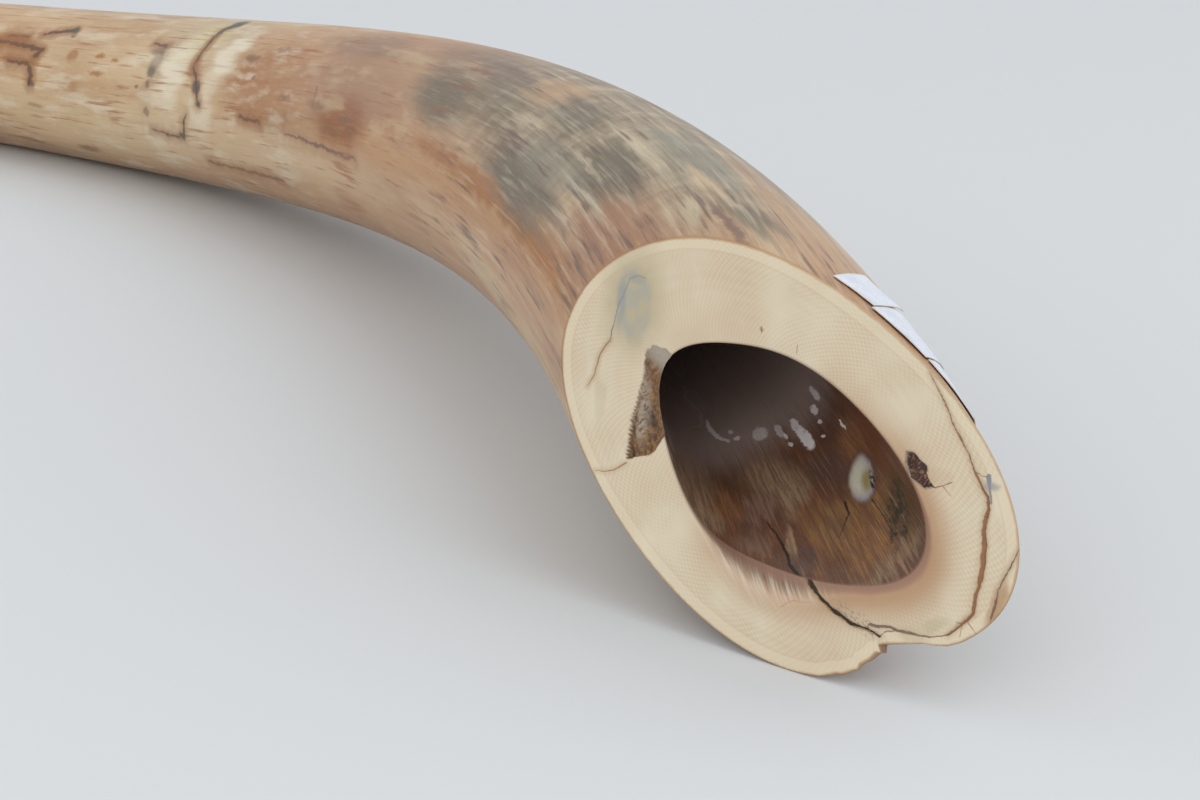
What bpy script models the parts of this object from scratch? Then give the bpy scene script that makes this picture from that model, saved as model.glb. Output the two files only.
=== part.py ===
"""A mammoth tusk, sawn off slantwise near its base, lying on a flat surface.

The tusk is one closed solid: a tapering tube swept along a rising and turning curve, a flat
slanting cut, a pulp cavity that narrows into the tusk, and the chips and cracks of the cut.
Three strips of blank white paper lie on its skin beside the cut. Everything is in metres, +Z up.
The sweep is worked out about the middle of the cut, and then moved so that the tusk's box has
its middle above the origin and its underside at z = 0.
"""
import math

import bpy
import bmesh
import numpy as np

# Sweep of the tusk
LENGTH = 2.05              # along the curve, from the middle of the cut to the tip
CUT_RADIUS = 0.060         # mean radius at the middle of the cut
TAPER_POWER = 1.9          # radius = CUT_RADIUS * (1 - (s / LENGTH) ** power) ** bluntness
TAPER_BLUNTNESS = 0.5
HEADING = 0.16             # direction at the cut, in radians from +Y towards -X
TURN_START = 0.46          # turning at the cut, in radians per metre
TURN_GROWTH = 0.60         # growth of the turning, per metre again
TURN_LIMIT = 1.20          # tightest turning, kept from there to the tip
ARCH_START = -0.045        # the arch leaves the floor here, measured along the curve
ARCH_END = 0.99            # and comes back to it here
ARCH_HEIGHT = 0.029        # highest gap below the arch
TIP_LIFT_START = 1.47      # the tip starts to rise here
TIP_LIFT = 0.14            # rise of the tip's centre

# Section: harmonics of the radius at the cut as (order, cosine, sine), fading along the curve
SECTION_HARMONICS = ((2, 0.035, 0.060), (3, 0.033, 0.017), (4, 0.020, 0.0))
SECTION_FADE = 0.60

# Slanting cut, through the middle of the tusk at s = 0
CUT_TURN = math.radians(-39.0)      # the cut's normal, turned from -Y towards -X
CUT_RISE = math.radians(20.5)       # and raised from the floor

# Pulp cavity: share of the tusk's radius at the cut, and its harmonics
CAVITY_SHARE = 0.660
CAVITY_HARMONICS = ((1, 0.014, -0.054), (2, 0.034, 0.016), (3, 0.029, 0.008), (4, 0.004, -0.023))
CAVITY_START = -0.09                # the cavity has its full share here
CAVITY_LENGTH = 0.45                # from there to its pointed end
CAVITY_BLUNTNESS = 0.65

# Mesh
COLUMNS = 40
SKIN_ROWS = 48
CAVITY_ROWS = 11
CROWDING = 0.35                     # the rings stand closer together towards the tip
TIP_RINGS = (0.012, 0.004)          # last rings, from the tip
CUT_BLEND = 0.32                    # the rings stand square to the curve past this length
SAMPLES_PER_METRE = 1000
CURVE_BACK = 0.20                   # the curve is also worked out this far in front of the cut

# Marks on the cut, in millimetres: first along its long way, towards the base, then across it
NOTCH = ((104, 6), (101, 2), (96.5, -4.5), (89, -10), (81, -17.5), (77, -22), (79.5, -22.5),
         (77.5, -28), (76, -31.5), (76.5, -33.5), (75, -35.5), (72, -39.5), (65, -47.5),
         (75, -60), (112, -20))
NOTCH_DEPTH = 0.030
WEDGE = ((-60, -2), (-65, -6.5), (-61, -13.5), (-58, -18.5), (-55, -25), (-53.5, -29.5),
         (-49.5, -35.5), (-45, -42), (-40.5, -36.5), (-38, -34), (-37, -31), (-37.5, -26),
         (-34, -22), (-45, -12), (-52, -3))
WEDGE_DEPTH = 0.004
WEDGE_FLOOR = ((-58.5, -14), (-55.5, -20), (-52, -29), (-47, -36), (-43, -37), (-41, -32),
               (-41, -27), (-50, -17), (-54, -12))
WEDGE_FLOOR_DEPTH = 0.007
PIT = ((42, 32.5), (44, 34), (51, 33.5), (52, 30.5), (56, 30), (54.5, 28), (48.5, 28.5),
       (44, 31))
PIT_DEPTH = 0.005
LONG_CRACK = ((45, 53), (51, 50), (60, 47), (65.5, 44), (71.5, 41.5), (77.5, 38), (81, 31.5),
              (84.5, 28), (90, 20), (92.5, 14.5), (96, 9), (95, 3.5), (93, -1))
LONG_CRACK_WIDTH = 0.0016
BOTTOM_CRACK = ((12, -16), (16.5, -20), (22.5, -20.5), (33, -24.5), (42.5, -25), (50.5, -25),
                (55.5, -25), (64.5, -23.5), (72, -20))
BOTTOM_CRACK_WIDTH = 0.0018
OUTER_CRACK = ((94.5, 36), (96, 28.5), (97.5, 20.5), (100, 16.5), (101.5, 12))
OUTER_CRACK_WIDTH = 0.0010
CRACK_DEPTH = 0.004
CUTTER_STANDOUT = 0.003             # how far the cutters stand out of the cut

# Paper strips on the skin: from and to beside the cut, in degrees round the tusk with 0 towards
# +X and 90 up, and the distance from the cut in metres
PAPER_STRIPS = {"label_upper": (64.5, 53.5, 0.0145), "label_middle": (55.2, 40.5, 0.0095),
                "label_lower": (39.5, 26.0, 0.011)}
PAPER_WIDTH = 0.0215                # along the tusk
PAPER_SLANT = math.radians(20.0)    # the ends turn by this much over the width
PAPER_THICKNESS = 0.0003
PAPER_GAP = 0.0005
PAPER_COLUMNS = 6
PAPER_ROWS = 5


def sweep():
    """Returns the curve's samples: length, centre, direction, right-hand side, upward side, radius."""
    count = round((CURVE_BACK + LENGTH) * SAMPLES_PER_METRE) + 1
    s = np.linspace(-CURVE_BACK, LENGTH, count)
    step = s[1] - s[0]
    turn = np.minimum(TURN_START + TURN_GROWTH * s, TURN_LIMIT)
    at_cut = round(CURVE_BACK * SAMPLES_PER_METRE)
    heading = np.concatenate([[0.0], np.cumsum((turn[1:] + turn[:-1]) / 2) * step])
    heading += HEADING - heading[at_cut]
    radius = CUT_RADIUS * (1 - np.clip(s / LENGTH, 0, 1) ** TAPER_POWER) ** TAPER_BLUNTNESS
    along_arch = np.clip((s - ARCH_START) / (ARCH_END - ARCH_START), None, 1)
    arch = ARCH_HEIGHT * 27 / 4 * along_arch * (1 - along_arch) ** 2
    tip = TIP_LIFT * np.clip((s - TIP_LIFT_START) / (LENGTH - TIP_LIFT_START), 0, 1) ** 2
    sweep_radius = np.maximum(radius, 0.2 * CUT_RADIUS)
    height = arch + tip + sweep_radius
    rise = np.gradient(height, s)
    level = np.sqrt(1 - rise ** 2)
    direction = np.stack([-np.sin(heading) * level, np.cos(heading) * level, rise], 1)
    flat = direction[:, :2]
    place = np.concatenate([np.zeros((1, 2)), np.cumsum((flat[1:] + flat[:-1]) / 2, axis=0) * step])
    place -= place[at_cut]
    centre = np.column_stack([place, height])
    side = np.cross(direction, [0.0, 0.0, 1.0])
    side /= np.linalg.norm(side, axis=1)[:, None]
    return s, centre, direction, side, np.cross(side, direction), radius


CURVE = sweep()
CUT_NORMAL = np.array([math.sin(CUT_TURN) * math.cos(CUT_RISE),
                       -math.cos(CUT_TURN) * math.cos(CUT_RISE), math.sin(CUT_RISE)])
CUT_MIDDLE = CURVE[1][round(CURVE_BACK * SAMPLES_PER_METRE)]
CUT_DIRECTION = CURVE[2][round(CURVE_BACK * SAMPLES_PER_METRE)]
LONG_WAY = -CUT_DIRECTION + (CUT_DIRECTION @ CUT_NORMAL) * CUT_NORMAL
LONG_WAY /= np.linalg.norm(LONG_WAY)
CROSS_WAY = np.cross(CUT_NORMAL, LONG_WAY)


def at(values, s):
    """Reads one of the curve's columns at the lengths s."""
    if values.ndim == 1:
        return np.interp(s, CURVE[0], values)
    return np.stack([np.interp(s, CURVE[0], column) for column in values.T], -1)


def harmonics(terms, angle):
    """Sum of the cosine and sine waves of a ring."""
    return sum(c * np.cos(k * angle) + d * np.sin(k * angle) for k, c, d in terms)


def ring_point(angle, s, distance):
    """Points at a distance from the curve, at an angle round it."""
    side, up = at(CURVE[3], s), at(CURVE[4], s)
    outward = np.cos(angle)[..., None] * side + np.sin(angle)[..., None] * up
    return at(CURVE[1], s) + distance[..., None] * outward


def skin_point(angle, s, lift=0.0):
    """Points on the skin: the tapered radius with the section's harmonics."""
    fade = np.exp(-np.maximum(s, 0) / SECTION_FADE)
    radius = at(CURVE[5], s) * (1 + fade * harmonics(SECTION_HARMONICS, angle)) + lift
    return ring_point(angle, s, radius)


def cavity_point(angle, s):
    """Points on the cavity's wall: a share of the cut's radius that falls to nothing."""
    left = 1 - np.clip((s - CAVITY_START) / CAVITY_LENGTH, 0, 1)
    share = (CAVITY_SHARE + harmonics(CAVITY_HARMONICS, angle)) * left ** CAVITY_BLUNTNESS
    return ring_point(angle, s, CUT_RADIUS * share)


def length_at_cut(point_of, angle):
    """Length along the curve at which each angle's line on a surface meets the cut."""
    low = np.full_like(angle, -0.15)
    high = np.full_like(angle, 0.20)
    for _ in range(40):
        middle = (low + high) / 2
        in_front = (point_of(angle, middle) - CUT_MIDDLE) @ CUT_NORMAL > 0
        low = np.where(in_front, middle, low)
        high = np.where(in_front, high, middle)
    return (low + high) / 2


def tusk_rings():
    """Rings of the closed solid, from the cavity's end out over the cut to the tip."""
    angle = np.arange(COLUMNS) * 2 * math.pi / COLUMNS
    cavity_rim = length_at_cut(cavity_point, angle)
    cavity_end = CAVITY_START + CAVITY_LENGTH
    rings = []
    for share in np.sin(np.linspace(math.pi / 2, 0, CAVITY_ROWS + 1))[1:]:
        rings.append(cavity_point(angle, cavity_rim + (cavity_end - cavity_rim) * share))
    rim = length_at_cut(skin_point, angle)
    evenly = np.linspace(0, 1, SKIN_ROWS + 1)[:-1]
    lengths = LENGTH * evenly * (1 + CROWDING * evenly * (1 - evenly))
    for s in (*lengths, *(LENGTH - end for end in TIP_RINGS)):
        still = max(0.0, 1 - s / CUT_BLEND)
        rings.append(skin_point(angle, s + rim * still))
    return rings


def shut_mesh(name, rings, first_point, last_point):
    """Makes a closed mesh from rings of equal size and a point at each end."""
    count = len(rings[0])
    points = np.concatenate([*rings, first_point[None], last_point[None]])
    first, last = len(points) - 2, len(points) - 1
    faces = []
    for row in range(len(rings) - 1):
        for column in range(count):
            here, after = row * count + column, row * count + (column + 1) % count
            faces.append((here, after, after + count, here + count))
    for column in range(count):
        after = (column + 1) % count
        faces.append((first, after, column))
        faces.append((last, (len(rings) - 1) * count + column, (len(rings) - 1) * count + after))
    mesh = bpy.data.meshes.new(name)
    mesh.from_pydata(points.tolist(), [], faces)
    return mesh


def new_object(name, mesh, material):
    """Links a mesh as an object, with its faces turned outwards and its material."""
    shape = bmesh.new()
    shape.from_mesh(mesh)
    bmesh.ops.recalc_face_normals(shape, faces=shape.faces)
    shape.to_mesh(mesh)
    shape.free()
    if material:
        mesh.materials.append(material)
    piece = bpy.data.objects.new(name, mesh)
    bpy.context.collection.objects.link(piece)
    return piece


def cutter(name, outline, depth):
    """A prism through the cut: an outline in millimetres, sunk to a depth."""
    flat = np.array(outline) / 1000
    face = CUT_MIDDLE + flat[:, :1] * LONG_WAY + flat[:, 1:] * CROSS_WAY
    count = len(face)
    points = np.concatenate([face - depth * CUT_NORMAL, face + CUTTER_STANDOUT * CUT_NORMAL])
    sides = [(i, (i + 1) % count, (i + 1) % count + count, i + count) for i in range(count)]
    ends = [tuple(range(count))[::-1], tuple(range(count, 2 * count))]
    mesh = bpy.data.meshes.new(name)
    mesh.from_pydata(points.tolist(), [], sides + ends)
    piece = new_object(name, mesh, None)
    piece.hide_render = True
    piece.display_type = "WIRE"
    return piece


def crack_outline(path, width):
    """A long thin outline round a path, pointed at both ends."""
    line = np.array(path, float)
    along = np.gradient(line, axis=0)
    along /= np.linalg.norm(along, axis=1)[:, None]
    across = np.column_stack([-along[:, 1], along[:, 0]]) * width * 1000 / 2
    left, right = (line + across)[1:-1], (line - across)[1:-1]
    return [*line[:1], *right, *line[-1:], *left[::-1]]


def cut(piece, outlines):
    """Takes each cutter's prism out of a piece."""
    for name, outline, depth in outlines:
        step = piece.modifiers.new(name, "BOOLEAN")
        step.operation = "DIFFERENCE"
        step.solver = "EXACT"
        step.object = cutter(name, outline, depth)


def make_tusk(material):
    """The tusk: one solid, cut by the chips and cracks of its sawn end."""
    rings = tusk_rings()
    deepest = cavity_point(np.zeros(1), np.full(1, CAVITY_START + CAVITY_LENGTH))[0]
    tip = at(CURVE[1], LENGTH)
    tusk = new_object("tusk", shut_mesh("tusk", rings, deepest, tip), material)
    cut(tusk, (
        ("notch_cutter", NOTCH, NOTCH_DEPTH),
        ("wedge_cutter", WEDGE, WEDGE_DEPTH),
        ("wedge_floor_cutter", WEDGE_FLOOR, WEDGE_FLOOR_DEPTH),
        ("pit_cutter", PIT, PIT_DEPTH),
        ("long_crack_cutter", crack_outline(LONG_CRACK, LONG_CRACK_WIDTH), CRACK_DEPTH),
        ("bottom_crack_cutter", crack_outline(BOTTOM_CRACK, BOTTOM_CRACK_WIDTH), CRACK_DEPTH),
        ("outer_crack_cutter", crack_outline(OUTER_CRACK, OUTER_CRACK_WIDTH), CRACK_DEPTH),
    ))
    return tusk


def make_strip(name, first, last, from_cut, material):
    """A strip of paper that follows the skin beside the cut, a hair above it, with slanting ends."""
    turn, across = np.meshgrid(np.radians(np.linspace(first, last, PAPER_COLUMNS)),
                               np.linspace(0, 1, PAPER_ROWS), indexing="ij")
    rim = length_at_cut(skin_point, turn.ravel()).reshape(turn.shape)
    s = rim + from_cut + PAPER_WIDTH * across
    turn = turn - PAPER_SLANT * across
    under = skin_point(turn, s, PAPER_GAP).reshape(-1, 3)
    over = skin_point(turn, s, PAPER_GAP + PAPER_THICKNESS).reshape(-1, 3)
    count = PAPER_COLUMNS * PAPER_ROWS
    faces = []
    for i in range(PAPER_COLUMNS - 1):
        for j in range(PAPER_ROWS - 1):
            k = i * PAPER_ROWS + j
            quad = (k, k + 1, k + 1 + PAPER_ROWS, k + PAPER_ROWS)
            faces.append(quad[::-1])
            faces.append(tuple(v + count for v in quad))
    edge = [i * PAPER_ROWS for i in range(PAPER_COLUMNS)]
    edge += [(PAPER_COLUMNS - 1) * PAPER_ROWS + j for j in range(1, PAPER_ROWS)]
    edge += [i * PAPER_ROWS + PAPER_ROWS - 1 for i in range(PAPER_COLUMNS - 2, -1, -1)]
    edge += [j for j in range(PAPER_ROWS - 2, 0, -1)]
    for k, here in enumerate(edge):
        after = edge[(k + 1) % len(edge)]
        faces.append((here, after, after + count, here + count))
    mesh = bpy.data.meshes.new(name)
    mesh.from_pydata([*under.tolist(), *over.tolist()], [], faces)
    return new_object(name, mesh, material)


def make_material(name, colour, roughness):
    """A plain surface with its colour and roughness."""
    material = bpy.data.materials.new(name)
    material.use_nodes = True
    shader = material.node_tree.nodes["Principled BSDF"]
    shader.inputs["Base Color"].default_value = (*colour, 1.0)
    shader.inputs["Roughness"].default_value = roughness
    shader.inputs["Metallic"].default_value = 0.0
    return material


def settle(pieces):
    """Moves everything so that the tusk's box stands on the origin, middle over it."""
    tusk = pieces[0]
    points = np.array([tuple(v.co) for v in tusk.data.vertices])
    low, high = points.min(axis=0), points.max(axis=0)
    origin = np.array([(low[0] + high[0]) / 2, (low[1] + high[1]) / 2, low[2]])
    for piece in bpy.data.objects:
        piece.location = tuple(-origin)


def main():
    """Clears the scene and makes the tusk and its paper strips."""
    for old in list(bpy.data.objects):
        bpy.data.objects.remove(old, do_unlink=True)
    ivory = make_material("ivory", (0.72, 0.58, 0.40), 0.35)
    paper = make_material("paper", (0.82, 0.83, 0.88), 0.75)
    pieces = [make_tusk(ivory)]
    for name, (first, last, from_cut) in PAPER_STRIPS.items():
        pieces.append(make_strip(name, first, last, from_cut, paper))
    settle(pieces)


main()
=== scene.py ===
"""A mammoth tusk, sawn off slantwise near its base, lying on a pale floor.

The tusk is one closed skin worked out with numpy: rings round a turning and rising curve, the
sawn face as straight lines from the pulp cavity's rim to the outer rim, and the cavity's wall.
Blank paper strips lie beside the cut. Lengths are metres, angles radians, unless a name says mm.
"""

import logging
import math
from dataclasses import dataclass, field
from enum import Enum, IntEnum
from functools import reduce
from typing import Callable, Sequence

import bpy
import numpy as np
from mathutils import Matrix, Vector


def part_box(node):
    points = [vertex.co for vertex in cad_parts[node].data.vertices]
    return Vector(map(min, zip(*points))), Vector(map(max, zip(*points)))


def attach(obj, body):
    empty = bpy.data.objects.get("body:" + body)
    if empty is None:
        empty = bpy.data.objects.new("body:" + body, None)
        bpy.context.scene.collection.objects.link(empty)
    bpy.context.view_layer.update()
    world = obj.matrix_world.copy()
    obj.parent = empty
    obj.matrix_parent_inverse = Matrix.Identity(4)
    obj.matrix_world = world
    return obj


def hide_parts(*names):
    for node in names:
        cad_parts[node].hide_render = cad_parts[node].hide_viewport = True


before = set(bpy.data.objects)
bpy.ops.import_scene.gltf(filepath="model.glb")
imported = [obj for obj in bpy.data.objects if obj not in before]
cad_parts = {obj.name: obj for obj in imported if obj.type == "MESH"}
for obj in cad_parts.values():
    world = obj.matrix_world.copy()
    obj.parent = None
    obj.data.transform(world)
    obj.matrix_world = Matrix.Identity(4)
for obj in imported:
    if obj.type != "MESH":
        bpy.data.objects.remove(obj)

log = logging.getLogger("tusk")
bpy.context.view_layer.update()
PHOTO_WIDTH = 1200
PHOTO_FOCAL = 2200.0                  # focal length in the photograph's pixels
CAMERA_PITCH = 0.3124                 # the camera looks down by this much
CAMERA_HEIGHT = 0.3184
CUT_MIDDLE_FROM_CAMERA = (0.0589, 0.7222)     # to the right of the camera, and ahead of it

Points = np.ndarray
Socket = bpy.types.NodeSocket
Polyline = Sequence[tuple[float, float]]


class Zone(Enum):
    """The three kinds of surface on the tusk, in the order of its material slots."""

    SAWN = 0
    CAVITY = 1
    BARK = 2


class Seed(IntEnum):
    """Starting numbers of the noises that shape the surfaces."""

    CRACK = 3
    WANDER_LONG = 5
    WANDER_ACROSS = 9
    CHIP = 21
    CHIP_FINE = 22
    PIT = 31
    BARK = 41
    CAVITY = 61
    PAPER = 71


# Shapes on the sawn face in millimetres: along its long way towards the base, then across it

NOTCH_MM = ((104, 6), (101, 2), (96.5, -4.5), (92.5, -8), (89, -10.3), (85, -14), (81, -17.7),
            (78, -20.5), (76.8, -22.2), (79.8, -22.4), (79, -23.6), (78, -24.2), (77.6, -28),
            (76.2, -31.5), (76.8, -33.3), (75.6, -34.4), (75, -35.6), (73, -38.6), (71.6, -39.4),
            (65, -47.8), (75, -62), (114, -20))
WEDGE_MM = ((-58, -0.5), (-64.5, -3.5), (-65, -7.5), (-61, -13.5), (-58, -18.5), (-55, -25),
            (-53.5, -29.5), (-49.5, -35.5), (-45, -42), (-40.5, -36.5), (-38, -34), (-37, -31),
            (-37.5, -26), (-34, -20), (-45, -10), (-52, -1))
WEDGE_RIDGE_MM = ((-60, -10), (-57, -18), (-52, -27), (-47, -33))
PIT_MM = ((41.5, 33), (44, 35), (47.5, 34.2), (51, 34.5), (53, 32), (58, 30.8), (55.5, 28),
          (49, 27.2), (44, 30))
LONG_CRACK_MM = ((31.5, 58), (42.5, 54), (51, 50), (60, 47), (65.5, 44), (71.5, 41.5), (75, 40.5),
                 (77.5, 38), (81, 31.5), (84.5, 28), (90, 20), (92.5, 14.5), (96, 9), (95, 3.5),
                 (94, -2))
BOTTOM_CRACK_MM = ((9, -14), (15, -19.5), (22.5, -21), (31, -23), (33, -24.5), (42.5, -25),
                   (50.5, -25), (55.5, -25), (64.5, -23.5), (72, -20), (75.5, -19.5))
OUTER_CRACK_MM = ((94.5, 36), (96, 28.5), (97, 23.5), (97.5, 20.5), (100, 16.5), (102, 11.5))


@dataclass(frozen=True)
class Crack:
    """A crack: its path, its widths along it, its depth, its colour, and how much it stains."""

    path_mm: Polyline
    widths_mm: tuple[float, ...]
    depth_mm: float = 0.0
    colour: tuple[float, float, float] = (0.10, 0.05, 0.03)
    halo: float = 0.0

    def width_at(self, share: np.ndarray) -> np.ndarray:
        """Width in millimetres at shares of the path, read off evenly spaced values."""
        return np.interp(share, np.linspace(0, 1, len(self.widths_mm)), self.widths_mm)


LONG_CRACK = Crack(LONG_CRACK_MM, (0.1, 0.35, 0.3, 0.5, 0.4, 0.7, 1.3, 1.5, 1.9, 1.7, 0.9, 1.2,
                                   0.5), 1.1, (0.27, 0.125, 0.05), 0.5)
BOTTOM_CRACK = Crack(BOTTOM_CRACK_MM, (0.8, 1.0, 1.0, 0.9, 1.1, 1.2, 1.1, 1.2, 0.8, 0.4), 1.7,
                     (0.05, 0.030, 0.020), 0.5)
OUTER_CRACK = Crack(OUTER_CRACK_MM, (0.2, 0.4, 0.6, 0.3, 0.8, 0.4), 0.8, (0.20, 0.11, 0.07), 0.6)
HAIRLINES = (
    Crack(((94, -2), (89.5, -7), (80, -12.5), (76, -17), (75.5, -19.5)), (0.5, 0.35, 0.3), 0,
          (0.22, 0.13, 0.08)),
    Crack(((70, -19), (73, -17.2), (76.5, -14.5), (79, -13.5), (86, -9.5), (89.5, -7)),
          (0.9, 1.3, 0.7, 1.3, 0.3, 0.2), 0.6, (0.20, 0.13, 0.10)),
    Crack(((71, 46), (73, 44), (76, 41.5), (77.5, 40)), (1.9, 0.8, 0.6), 0, (0.22, 0.22, 0.25)),
    Crack(((65.5, 44), (69, 44.6), (71, 46)), (0.4, 0.3), 0, (0.25, 0.17, 0.12)),
    Crack(((56.5, 30), (58.5, 31), (60, 33), (62, 36)), (0.5, 0.35, 0.3), 0, (0.20, 0.10, 0.05)),
    Crack(((60, 33), (65, 32.5)), (0.3, 0.2), 0, (0.33, 0.16, 0.08)),
    Crack(((101, 5), (98.5, 5.5), (96, 6)), (0.25, 0.4), 0, (0.32, 0.18, 0.09)),
    Crack(((97.5, 0.5), (95.5, 4), (93.5, 3)), (0.25, 0.35), 0, (0.36, 0.20, 0.11)),
    Crack(((-80.5, -14), (-80.8, -20), (-80, -22), (-77.5, -27.5), (-77, -32.5)),
          (0.7, 0.6, 0.5, 0.3), 0, (0.33, 0.16, 0.07), 0.6),
    Crack(((-44, -42.5), (-46.5, -48), (-49, -50.5), (-53, -53.5)), (0.6, 0.45, 0.2), 0,
          (0.30, 0.16, 0.07), 0.4),
    Crack(((-30, 28), (-31.5, 29.8)), (0.25, 0.2), 0, (0.16, 0.08, 0.04)),
    Crack(((-14, 31.5), (-15.5, 34)), (0.25, 0.2), 0, (0.16, 0.08, 0.04)),
    Crack(((-83.5, 12.5), (-86.5, 11.5), (-89, 8.5), (-88, 5), (-87, 1.5), (-86.5, -2),
           (-83.5, -8)), (0.5, 0.4, 0.6, 0.9, 0.9, 0.3), 0, (0.24, 0.26, 0.27)),
    Crack(((-84, -7), (-82.5, -10), (-80.5, -14)), (0.2, 0.7, 0.4), 0, (0.20, 0.18, 0.17)),
    Crack(((40, -38), (42, -33), (49, -28)), (0.3, 0.5, 0.2), 0, (0.50, 0.27, 0.14)),
)
CRACKS = (LONG_CRACK, BOTTOM_CRACK, OUTER_CRACK, *HAIRLINES)

# Cracks on the cavity's wall, unrolled: millimetres round it, then along the tusk

WALL_CRACKS = (
    Crack(((-53.7, 8), (-52, -1), (-51.2, -15), (-51.8, -20), (-49.9, -28), (-49, -40)),
          (0.3, 0.9, 1.1, 1.2), 0, (0.016, 0.012, 0.010)),
    Crack(((-23.9, -2), (-24.6, -9), (-31, -18)), (0.9, 0.6, 0.2), 0, (0.03, 0.022, 0.02)),
    Crack(((-15.4, -11), (-15.0, -27)), (0.5, 0.3), 0, (0.03, 0.022, 0.02)),
)

WALL_LINES = (
    Crack(((-59.7, 118), (-62.5, 108), (-60.9, 101.7), (-58.7, 94.6), (-61.5, 84.4), (-65, 84)),
          (0.3, 0.8, 0.5, 0.9, 0.5), 0, (0.40, 0.37, 0.37)),
    Crack(((-58.4, 87), (-58.6, 79), (-57.2, 72.6), (-53.7, 67.2)), (0.6, 2.0, 2.4, 1.2), 0,
          (0.66, 0.62, 0.63)),
    Crack(((-66, 112), (-69, 100), (-66, 92)), (0.3, 0.7, 0.3), 0, (0.30, 0.27, 0.27)),
    Crack(((-45, 128), (-52, 121), (-47, 112)), (0.3, 0.9, 0.3), 0, (0.30, 0.27, 0.27)),
)

# Dark lines on the bark, unrolled from its top line: millimetres round it, then along the tusk

BARK_LINES = (
    Crack(((43, 953), (40, 940), (36, 922)), (2.2, 3.6, 4.2), 0, (0.11, 0.05, 0.018), 0.9),
    Crack(((53, 1002), (55, 970), (58, 944), (64, 950)), (2.8, 3.6, 4.2), 0, (0.12, 0.048, 0.014),
          1.0),
    Crack(((69, 980), (71, 955), (80, 948), (86, 950)), (2.4, 3.6, 4.4), 0, (0.13, 0.055, 0.018),
          0.9),
    Crack(((48, 990), (47, 968)), (1.8, 2.6), 0, (0.18, 0.075, 0.022), 0.9),
    Crack(((14, 744), (24, 748), (38, 745), (55, 742)), (9.0, 6.0, 2.6, 1.6), 0,
          (0.10, 0.080, 0.046), 0.4),
    Crack(((34, 745), (48, 744), (60, 743)), (1.6, 2.6, 2.4), 0, (0.11, 0.05, 0.02), 0.8),
    Crack(((60, 743), (66, 735), (74, 729), (85, 723)), (2.0, 3.4, 2.0), 0, (0.08, 0.045, 0.02),
          0.9),
    Crack(((93, 740), (98, 745), (109, 749)), (0.8, 2.4, 2.8), 0, (0.07, 0.055, 0.03), 0.6),
    Crack(((107, 793), (109, 772), (110, 755)), (1.2, 2.0, 2.6), 0, (0.16, 0.075, 0.03), 0.7),
    Crack(((42, 812), (45, 795)), (2.6, 3.6), 0, (0.15, 0.075, 0.04), 0.7),
    Crack(((93, 592), (95, 530), (96, 475)), (1.2, 2.4, 1.2), 0, (0.18, 0.08, 0.04), 0.5),
    Crack(((126, 728), (127, 620)), (1.8, 2.6), 0, (0.22, 0.10, 0.04), 0.6),
    Crack(((88, 662), (90, 630)), (2.6, 1.8), 0, (0.16, 0.06, 0.018), 0.8),
    Crack(((60, 560), (72, 556)), (0.8, 1.0), 0, (0.13, 0.08, 0.05)),
)


def hashed(cell: np.ndarray, seed: int) -> np.ndarray:
    """A value from 0 to 1 for each whole-numbered cell: a sine of its mixed coordinates, cut off.

    Args:
        cell: whole numbers, with the last axis holding x, y and z.
        seed: changes the pattern.

    Returns:
        One value per cell.
    """
    mixed = cell @ np.array([127.1, 311.7, 74.7]) + 17.3 * seed
    return np.modf(np.abs(np.sin(mixed) * 43758.5453))[0]


def noise(points: np.ndarray, size: float, seed: int = 0, octaves: int = 3) -> np.ndarray:
    """Smooth noise from -1 to 1: cell corners' values blended by cubic weights, in octaves.

    Args:
        points: places, in the same unit as size.
        size: width of the largest cells.
        seed: changes the pattern.
        octaves: layers, each half as wide and half as strong as the one before.

    Returns:
        One value per point.
    """
    total = np.zeros(points.shape[:-1])
    for octave in range(octaves):
        place = points / (size / 2 ** octave)
        low = np.floor(place)
        part = place - low
        part = part * part * (3 - 2 * part)
        for corner in np.ndindex(2, 2, 2):
            weight = np.prod(np.where(corner, part, 1 - part), axis=-1)
            total += weight * (hashed(low + corner, seed + octave) * 2 - 1) / 2 ** octave
    return total / 1.6


def path_distance(points_mm: np.ndarray, path_mm: Polyline) -> tuple[np.ndarray, np.ndarray]:
    """Distance from a path, and the share of the path at the nearest point.

    Each stretch's nearest point is the point's projection on it, held between its ends.

    Args:
        points_mm: places on the sawn face.
        path_mm: the path's corners.

    Returns:
        The distances, and the shares from 0 to 1.
    """
    corners = np.array(path_mm, float)
    steps = np.diff(corners, axis=0)
    lengths = np.linalg.norm(steps, axis=1)
    before = np.concatenate([[0], np.cumsum(lengths)])
    best = np.full(points_mm.shape[:-1], np.inf)
    share = np.zeros_like(best)
    for corner, step, length, start in zip(corners, steps, lengths, before):
        along = np.clip((points_mm - corner) @ step / length ** 2, 0, 1)
        away = np.linalg.norm(points_mm - corner - along[..., None] * step, axis=-1)
        share = np.where(away < best, (start + along * length) / before[-1], share)
        best = np.minimum(best, away)
    return best, share


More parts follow.
